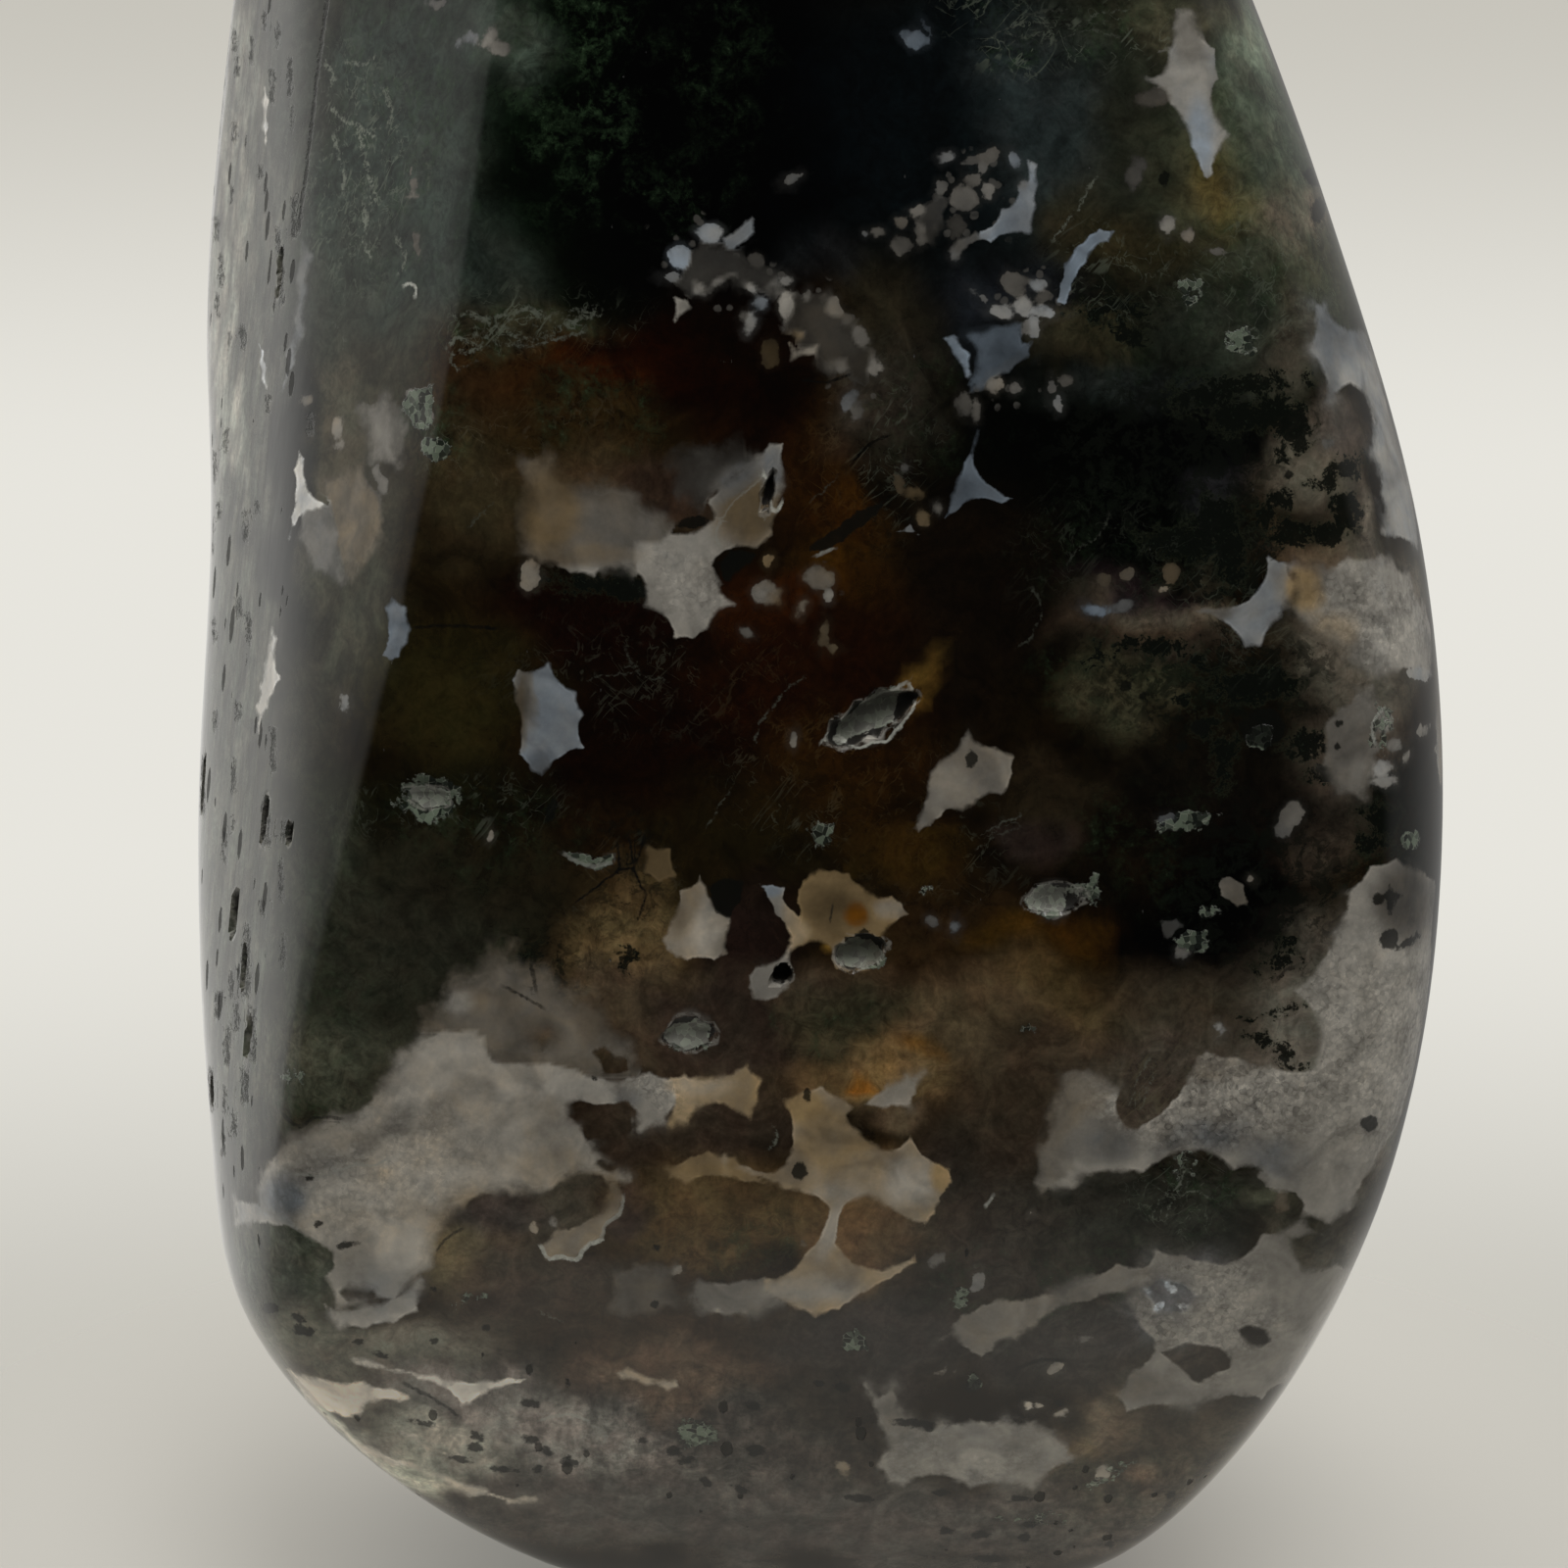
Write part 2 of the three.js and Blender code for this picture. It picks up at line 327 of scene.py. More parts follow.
def form_radius(azimuth, z):
    """The stone's radius about its leaning axis."""
    across = np.cos(azimuth)
    deep = np.sin(azimuth)
    sideways = np.where(across > 0, profile(RIGHT, z), profile(LEFT, z))
    front = profile(FRONT, z)
    back = profile(BACK, z)
    depth = np.where(deep < 0, FRONT_SPARE * front, BACK_SPARE * back)
    fullness = np.where(deep < 0, FRONT_FULLNESS, BACK_FULLNESS)
    round_share = (np.abs(across / sideways) ** fullness + np.abs(deep / depth) ** fullness) ** (1 / fullness)
    shares = [np.maximum(0, np.cos(azimuth - FRONT_AZIMUTH)) / front]
    for name, face_azimuth, rise, through in GROUND_FACES:
        normal = heading(face_azimuth, rise)
        room_left = (normal[0] * (through[0] - lean(z)) + normal[1] * through[1]
                     + normal[2] * (through[2] - z))
        facing = normal[0] * across + normal[1] * deep
        shares.append(np.maximum(0, facing) / np.maximum(room_left, LEAST_ROOM))
    crisp = sum(share ** CRISP_SHARPNESS for share in shares[:CRISP_RIDGES]) ** (1 / CRISP_SHARPNESS)
    shares = [crisp, round_share, np.maximum(0, np.cos(azimuth - BACK_AZIMUTH)) / back,
              *shares[CRISP_RIDGES:]]
    total = sum(share ** RIDGE_SHARPNESS for share in shares) ** (1 / RIDGE_SHARPNESS)
    up = np.clip((z - (HEIGHT - TIP_DOME)) / TIP_DOME, 0, 1)
    return np.sqrt(np.maximum(1 - up ** 2, 0)) / total


def on_form(azimuth, z, share=1.0):
    radius = form_radius(azimuth, z) * share
    return np.stack([lean(z) + radius * np.cos(azimuth), radius * np.sin(azimuth), z], 1)


def read_places(shape):
    return np.array([vertex.co[:] for vertex in shape.verts])


def write_places(shape, places):
    for vertex, place in zip(shape.verts, places):
        vertex.co = place


def settle(places):
    """Moves points of the walls out onto the form, at their own height and azimuth."""
    x = places[:, 0] - lean(places[:, 2])
    azimuth = np.arctan2(places[:, 1], x)
    settled = on_form(azimuth, places[:, 2])
    wall = (places[:, 2] > BASE_EDGE) & (places[:, 2] < HEIGHT - DOME_CAP)
    return np.where(wall[:, None], settled, places)


AROUND = 150
RINGS = 118
BASE_SHARE = 0.06
BASE_EDGE = 0.02
DOME_CAP = 0.6
TIP_EASE = 1.12
stone_shape = bmesh.new()
bmesh.ops.create_uvsphere(stone_shape, u_segments=AROUND, v_segments=RINGS, radius=1)
ball = read_places(stone_shape)
ball_azimuth = np.arctan2(ball[:, 1], ball[:, 0])
climb = 1 - np.arccos(np.clip(ball[:, 2], -1, 1)) / math.pi
under = np.clip(climb / BASE_SHARE, 0, 1)
wall_climb = np.clip((climb - BASE_SHARE) / (1 - BASE_SHARE), 0, 1)
wall_height = HEIGHT * (1 - (1 - wall_climb) ** TIP_EASE)
write_places(stone_shape, on_form(ball_azimuth, wall_height, under))

# The form is drafted about its own axis. This carries it to where the solid stands.
solid_low, solid_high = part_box("stone")
draft = read_places(stone_shape)
middle = (draft.min(0) + draft.max(0)) / 2
solid_middle = (np.array(solid_low) + np.array(solid_high)) / 2 / MM
TO_SOLID = np.array([solid_middle[0] - middle[0], solid_middle[1] - middle[1], 0.0])


# Stone: its markings
# Moss agate is clear to milky chalcedony, filled with moss-like green and brown growths. White opal-like patches have
# concave edges, where round growths press into them. All places below are px of the photograph's 1600 px frame, each
# feature given where it shows on the polished front.
PX_PER_MM = 21.5

# Name, edge softness, brightness as it shows from 0 to 255, warmth (0 bluish, 1 cream), outline.
PALE_PATCHES = [
    ("beige veil left of the lilac patch", 16, 72, 0.6, [
        (540, 476), (560, 470), (572, 494), (600, 498), (640, 506), (676, 528), (690, 556),
        (650, 582), (610, 580), (575, 577), (552, 572), (538, 562), (541, 520)]),
    ("violet veil above the lilac patch", 18, 48, 0.5, [
        (690, 470), (720, 462), (752, 466), (770, 474), (740, 496), (716, 512), (694, 500)]),
    ("grey ground low at the left", 6, 60, 0.65, [
        (628, 1300), (650, 1292), (690, 1290), (684, 1310), (690, 1330), (660, 1336), (636, 1344),
        (622, 1336)]),
    ("pinkish ground low in the middle", 4, 74, 0.55, [
        (706, 1322), (712, 1306), (760, 1306), (780, 1304), (800, 1330), (770, 1344), (740, 1342),
        (716, 1340)]),
    ("translucent ground left of the right shoulder", 6, 90, 0.6, [
        (1060, 1180), (1056, 1206), (1068, 1214), (1094, 1210), (1110, 1196), (1140, 1186),
        (1150, 1150), (1140, 1112), (1110, 1092), (1088, 1096), (1076, 1130)]),
    ("beige veil over the left ground", 22, 76, 0.65, [
        (436, 1050), (466, 1004), (506, 978), (556, 992), (596, 1030), (640, 1064), (650, 1100),
        (600, 1104), (560, 1090), (500, 1090)]),
    ("grey white ground at the left foot", 7, 114, 0.57, [
        (262, 1212), (276, 1186), (300, 1160), (340, 1142), (372, 1130), (396, 1106),
        (406, 1080), (430, 1062), (452, 1048), (478, 1040), (512, 1040), (520, 1056),
        (506, 1078), (530, 1084), (560, 1080), (590, 1086), (610, 1098), (640, 1102),
        (640, 1150), (600, 1162), (606, 1182), (642, 1204), (612, 1210), (560, 1212), (490, 1218),
        (448, 1246), (434, 1290), (404, 1326), (345, 1335), (330, 1300), (314, 1262),
        (290, 1246), (262, 1240)]),
    ("whitest part of the left ground", 7, 124, 0.57, [
        (440, 1082), (455, 1050), (480, 1040), (512, 1040), (516, 1060), (500, 1078), (470, 1090)]),
    ("white corner at the ridge's foot", 4, 112, 0.4, [
        (238, 1222), (262, 1228), (300, 1240), (312, 1262), (290, 1252), (240, 1250)]),
    ("lip of the left ground", 3, 120, 0.45, [
        (332, 1332), (350, 1338), (372, 1332), (400, 1326), (430, 1306), (426, 1338), (402, 1350),
        (372, 1356), (345, 1354), (334, 1344)]),
    ("upper streak at the foot's edge", 3, 130, 0.6, [
        (352, 1462), (382, 1478), (420, 1492), (454, 1508), (436, 1505), (400, 1496), (366, 1482)]),
    ("lower streak at the foot's edge", 3, 122, 0.6, [
        (452, 1508), (490, 1518), (545, 1530), (520, 1532), (480, 1526)]),
    ("short streak at the foot's edge", 3, 120, 0.6, [
        (398, 1452), (424, 1464), (456, 1484), (436, 1480), (408, 1464)]),
    ("bright ridge of the right shoulder", 2, 114, 0.5, [
        (1136, 1186), (1158, 1166), (1178, 1148), (1196, 1124), (1212, 1102), (1222, 1078),
        (1238, 1074), (1240, 1092), (1226, 1112), (1214, 1130), (1196, 1150), (1170, 1174),
        (1150, 1188)]),
    ("star", 1.5, 95, 0.2, [
        (561, 676), (567, 691), (587, 706), (594, 729), (590, 746), (596, 763), (572, 772),
        (552, 792), (542, 785), (529, 769), (532, 746), (526, 716), (523, 693), (529, 683),
        (541, 686)]),
    ("left spot", 1.5, 88, 0.15, [
        (400, 611), (413, 620), (418, 641), (415, 654), (407, 671), (398, 673), (390, 669),
        (396, 640), (393, 620)]),
    ("great lilac patch", 1.8, 106, 0.5, [
        (566, 568), (570, 578), (583, 584), (606, 587), (612, 581), (642, 579), (652, 585),
        (659, 596), (658, 619), (672, 624), (686, 639), (688, 651), (708, 652), (722, 641),
        (733, 621), (750, 617), (738, 609), (733, 600), (730, 588), (726, 574), (744, 560),
        (772, 559), (787, 546), (793, 522), (801, 496), (798, 481), (799, 453), (786, 453),
        (769, 468), (739, 490), (722, 512), (730, 530), (700, 545), (664, 538), (636, 536),
        (610, 546), (590, 556)]),
    ("chip by the lilac patch", 1.5, 84, 0.5, [
        (722, 574), (728, 580), (732, 590), (737, 596), (728, 600), (722, 592), (720, 582)]),
    ("pointed patch", 1.8, 92, 0.6, [
        (988, 745), (982, 754), (974, 768), (960, 776), (950, 789), (947, 803), (943, 819),
        (937, 834), (933, 845), (937, 848), (949, 842), (960, 833), (966, 826), (982, 826),
        (992, 820), (1002, 812), (1023, 811), (1028, 803), (1033, 790), (1034, 772), (1015, 763),
        (996, 759), (990, 752)]),
    ("cusped patch by the dark lobe", 1.5, 104, 0.65, [
        (714, 891), (712, 901), (693, 908), (692, 925), (685, 942), (676, 959), (680, 968),
        (690, 976), (702, 979), (719, 977), (729, 980), (741, 973), (740, 961), (743, 947),
        (747, 937), (734, 932), (727, 920), (719, 905)]),
    ("spiky strand", 1.5, 98, 0.5, [
        (774, 902), (788, 903), (801, 906), (799, 918), (810, 930), (819, 938), (818, 950),
        (811, 964), (804, 975), (810, 990), (803, 1008), (793, 1017), (782, 1022), (769, 1019),
        (759, 1015), (765, 1005), (764, 996), (771, 986), (784, 985), (797, 979), (804, 968),
        (808, 957), (803, 947), (791, 933), (784, 916)]),
    ("cream patch", 2.0, 78, 1.0, [
        (819, 899), (827, 894), (837, 889), (851, 888), (866, 891), (876, 903), (888, 912),
        (900, 917), (910, 914), (919, 921), (928, 933), (914, 940), (903, 948), (898, 960),
        (902, 976), (895, 986), (881, 992), (864, 993), (852, 988), (848, 978), (849, 968),
        (842, 963), (830, 960), (820, 964), (808, 969), (806, 960), (812, 948), (817, 933),
        (813, 920), (815, 908)]),
    ("hooked cusp", 1.8, 96, 0.85, [
        (740, 1098), (752, 1092), (762, 1086), (767, 1095), (778, 1103), (773, 1112),
        (772, 1124), (766, 1142), (754, 1136), (738, 1128), (700, 1120), (690, 1100)]),
    ("great cusped patch", 1.8, 94, 0.75, [
        (800, 1122), (820, 1114), (838, 1108), (861, 1122), (871, 1131), (862, 1140), (876, 1154),
        (895, 1170), (906, 1175), (924, 1166), (930, 1158), (935, 1170), (946, 1182), (958, 1188),
        (969, 1193), (972, 1206), (963, 1216), (958, 1226), (953, 1238), (946, 1246), (940, 1262),
        (936, 1272), (934, 1288), (919, 1298), (909, 1305), (886, 1317), (866, 1329), (856, 1336),
        (842, 1338), (832, 1344), (812, 1334), (798, 1328), (771, 1320), (778, 1304), (800, 1302),
        (822, 1279), (843, 1248), (845, 1230), (822, 1217), (800, 1213), (790, 1206), (740, 1200),
        (700, 1196), (690, 1190), (740, 1178), (762, 1190), (790, 1197), (806, 1180), (809, 1160)]),
    ("white wedge", 3, 108, 0.6, [
        (943, 1094), (925, 1098), (905, 1108), (892, 1118), (880, 1128), (900, 1131),
        (928, 1129), (934, 1115)]),
    ("granular lilac patch", 3, 106, 0.5, [
        (622, 1112), (640, 1098), (664, 1094), (690, 1102), (692, 1126), (676, 1146),
        (652, 1154), (650, 1134), (636, 1122)]),
    ("cream shoulder", 4, 104, 0.8, [
        (684, 1100), (700, 1096), (740, 1098), (745, 1126), (720, 1126), (706, 1134), (700, 1144),
        (684, 1146)]),
    ("cream tongue under the dark band", 2.5, 84, 0.9, [
        (678, 1192), (705, 1180), (722, 1174), (750, 1182), (776, 1202), (790, 1212),
        (760, 1206), (730, 1200), (700, 1206), (684, 1200)]),
    ("rimmed patch", 2, 88, 0.7, [
        (552, 1272), (558, 1284), (588, 1285), (598, 1272), (615, 1262), (618, 1249), (633, 1237),
        (636, 1222), (628, 1204), (614, 1208), (610, 1232), (590, 1246), (566, 1256)]),
    ("pale lobe at the lower right", 2.5, 82, 0.6, [
        (970, 1361), (973, 1351), (982, 1342), (1002, 1332), (1019, 1326), (1055, 1324),
        (1100, 1306), (1140, 1290), (1180, 1290), (1180, 1310), (1150, 1318), (1110, 1328),
        (1067, 1342), (1058, 1351), (1043, 1359), (1036, 1366), (1021, 1367), (1011, 1378),
        (1002, 1385), (992, 1380), (982, 1373)]),
    ("low pale patch", 4, 92, 0.45, [
        (883, 1413), (897, 1426), (911, 1413), (916, 1428), (926, 1446), (944, 1460), (961, 1453),
        (990, 1449), (1026, 1449), (1054, 1453), (1072, 1464), (1090, 1478), (1092, 1489),
        (1069, 1503), (1054, 1517), (1026, 1515), (990, 1519), (969, 1506), (944, 1505),
        (922, 1515), (908, 1510), (897, 1496), (901, 1485), (911, 1474), (904, 1464), (897, 1449),
        (892, 1435)]),
    ("grainy right shoulder", 3, 105, 0.5, [
        (1084, 1160), (1100, 1130), (1130, 1110), (1160, 1112), (1140, 1150), (1160, 1152),
        (1214, 1098), (1230, 1072), (1262, 1080), (1300, 1090), (1340, 1092), (1350, 1050),
        (1320, 1011), (1335, 999), (1348, 981), (1356, 968), (1361, 951), (1373, 935), (1376, 909),
        (1399, 884), (1425, 876), (1450, 890), (1475, 900), (1470, 1000), (1450, 1100),
        (1430, 1150), (1402, 1190), (1380, 1235), (1356, 1250), (1330, 1240), (1330, 1226),
        (1299, 1215), (1293, 1206), (1281, 1190), (1257, 1194), (1245, 1179), (1216, 1172),
        (1182, 1186), (1167, 1196), (1141, 1194), (1107, 1199), (1094, 1212), (1070, 1212)]),
    ("grainy right foot", 3, 88, 0.5, [
        (1180, 1276), (1211, 1281), (1235, 1288), (1259, 1288), (1272, 1280), (1288, 1259),
        (1315, 1254), (1330, 1245), (1350, 1262), (1360, 1290), (1400, 1290), (1380, 1330),
        (1330, 1400), (1312, 1412), (1300, 1415), (1288, 1429), (1240, 1427), (1216, 1438),
        (1150, 1440), (1140, 1424), (1152, 1402), (1179, 1378), (1165, 1354), (1150, 1330),
        (1160, 1305)]),
    ("white ridge", 2, 96, 0.3, [
        (1290, 564), (1313, 575), (1321, 598), (1306, 629), (1286, 658), (1271, 660), (1248, 633),
        (1218, 625), (1229, 620), (1264, 618), (1286, 598), (1294, 579)]),
    ("sandy shoulder", 6, 104, 0.48, [
        (1322, 580), (1345, 585), (1372, 572), (1410, 566), (1440, 590), (1466, 640), (1462, 690),
        (1430, 680), (1404, 690), (1370, 672), (1345, 640), (1326, 620)]),
    ("pinkish ground by the right edge", 5, 82, 0.55, [
        (1352, 740), (1372, 706), (1400, 700), (1410, 730), (1404, 780), (1390, 812), (1366, 806),
        (1350, 780)]),
    ("upper right lilac patch", 2.5, 112, 0.4, [
        (1200, 10), (1215, 13), (1222, 33), (1240, 50), (1241, 70), (1243, 80), (1235, 99),
        (1241, 123), (1253, 136), (1243, 153), (1237, 179), (1230, 184), (1225, 172), (1215, 149),
        (1212, 129), (1195, 106), (1169, 80), (1188, 75), (1193, 50), (1182, 53), (1200, 43),
        (1198, 30)]),
    ("bluish edge band", 4, 106, 0.35, [
        (1340, 308), (1338, 357), (1357, 409), (1378, 390), (1397, 411), (1401, 461), (1409, 503),
        (1413, 545), (1450, 560), (1470, 520), (1440, 440), (1410, 360), (1394, 320),
        (1394, 338), (1363, 331), (1352, 311)]),
    ("blue streak", 1.5, 98, 0.1, [
        (1138, 236), (1130, 246), (1118, 250), (1108, 268), (1098, 282), (1092, 298), (1088, 312),
        (1078, 308), (1082, 290), (1086, 270), (1098, 252), (1112, 240), (1122, 234)]),
    ("blue area", 3, 68, 0.0, [
        (1015, 334), (1042, 331), (1045, 357), (1026, 373), (1003, 392), (990, 392), (999, 365),
        (988, 342)]),
    ("sliver", 1.2, 104, 0.1, [
        (961, 344), (973, 342), (990, 361), (991, 384), (986, 386), (973, 361)]),
    ("second star", 1.5, 76, 0.1, [
        (998, 438), (994, 476), (1015, 499), (1038, 510), (1022, 514), (992, 509), (976, 522),
        (963, 530), (971, 507), (976, 491), (984, 472)]),
    ("second star's chip", 1.2, 74, 0.3, [(911, 543), (940, 547), (929, 535)]),
    ("upper streak of the flank", 1.2, 150, 0.4, [
        (270, 88), (274, 102), (274, 130), (271, 152), (268, 130), (268, 104)]),
    ("middle streak of the flank", 1.2, 150, 0.3, [
        (264, 350), (269, 358), (272, 376), (272, 396), (267, 388), (265, 370)]),
    ("lower streak of the flank", 1.5, 140, 0.4, [
        (277, 640), (283, 652), (280, 674), (287, 692), (279, 706), (272, 722), (264, 748),
        (262, 722), (266, 700), (270, 678), (274, 660)]),
    ("violet band of the flank", 2.5, 84, 0.3, [
        (308, 244), (318, 262), (312, 300), (310, 340), (300, 372), (288, 400), (292, 360),
        (302, 320), (303, 280)]),
    ("grey ground by the horn", 8, 84, 0.4, [
        (310, 514), (336, 518), (352, 545), (346, 588), (322, 580), (306, 548)]),
    ("cream ground of the left face", 18, 84, 0.7, [
        (334, 494), (366, 482), (384, 506), (378, 556), (358, 582), (338, 556)]),
    ("horn of the left face", 1.5, 146, 0.35, [
        (305, 459), (310, 468), (311, 490), (317, 506), (334, 514), (320, 524), (308, 524),
        (302, 534), (295, 550), (297, 528), (301, 504), (301, 480)]),
    ("pinkish ground of the left face", 12, 88, 0.5, [
        (372, 420), (392, 404), (410, 430), (402, 470), (380, 474)]),
    ("beige cells of the crackle", 2.5, 56, 1.0, [
        (660, 864), (684, 866), (690, 894), (672, 900), (658, 890)]),
    ("low white cusps", 2, 148, 0.6, [
        (292, 1397), (326, 1406), (372, 1410), (402, 1417), (419, 1426), (408, 1429), (381, 1429),
        (372, 1433), (369, 1444), (353, 1446), (335, 1440), (317, 1433), (304, 1418)]),
    ("low white streak", 2, 136, 0.5, [
        (360, 1387), (387, 1394), (418, 1400), (445, 1404), (470, 1410), (494, 1409), (519, 1406),
        (540, 1406), (531, 1411), (510, 1415), (494, 1421), (479, 1432), (471, 1434), (464, 1424),
        (451, 1415), (427, 1406), (396, 1398)]),
    ("cream stripe", 2, 104, 0.7, [
        (629, 1400), (640, 1397), (690, 1409), (694, 1416), (682, 1418), (660, 1412), (634, 1406)]),
    ("first bead cluster's crest", 1.3, 90, 0.25, [
        (738, 243), (752, 236), (760, 227), (769, 222), (770, 238), (760, 246), (748, 256),
        (738, 256)]),
    ("first bead cluster's foot", 1.2, 96, 0.5, [
        (688, 328), (707, 314), (700, 306), (688, 303), (690, 314)]),
    ("first bead cluster's wedge", 1.5, 98, 0.65, [
        (805, 349), (807, 368), (830, 361), (843, 358), (848, 349), (832, 345), (813, 358)]),
    ("first bead cluster's body", 7, 42, 0.45, [
        (704, 258), (716, 248), (740, 250), (756, 258), (766, 268), (790, 278), (800, 296),
        (790, 302), (760, 292), (744, 282), (722, 294), (704, 300), (690, 290)]),
    ("beads' brown ground", 16, 46, 0.6, [
        (806, 300), (846, 300), (870, 330), (884, 356), (896, 374), (880, 384), (850, 378),
        (820, 352), (806, 330)]),
    ("ring cluster's corner", 1.4, 103, 0.2, [
        (1049, 164), (1058, 168), (1058, 190), (1056, 212), (1052, 238), (1022, 240),
        (1012, 248), (996, 244), (1000, 236), (1016, 228), (1022, 214), (1036, 206),
        (1040, 192), (1050, 182)]),
    ("ring cluster's lower chain", 2, 72, 0.4, [
        (996, 236), (1004, 244), (986, 252), (978, 264), (972, 264), (968, 256), (978, 244)]),
    ("ring cluster's brown side", 5, 42, 0.4, [
        (944, 210), (960, 196), (968, 204), (962, 230), (950, 248), (938, 244), (936, 226)]),
    ("blue tail of the third cluster", 3, 66, 0.1, [
        (1000, 372), (1020, 366), (1044, 350), (1054, 348), (1050, 364), (1030, 378),
        (1004, 396), (992, 398)]),
    ("white crystal in the black", 1.2, 80, 0.6, [
        (1246, 895), (1256, 894), (1269, 902), (1274, 922), (1261, 925), (1246, 914), (1243, 902)]),
    ("lilac chip", 1.2, 54, 0.35, [
        (1184, 939), (1192, 940), (1202, 937), (1208, 945), (1195, 955), (1189, 961), (1185, 948)]),
    ("grey chip above the black splinter", 3, 70, 0.8, [
        (772, 600), (784, 594), (796, 602), (794, 614), (782, 618), (773, 612)]),
    ("tan wedge", 4, 78, 0.9, [(880, 1230), (930, 1236), (934, 1286), (900, 1300), (872, 1282)]),
]

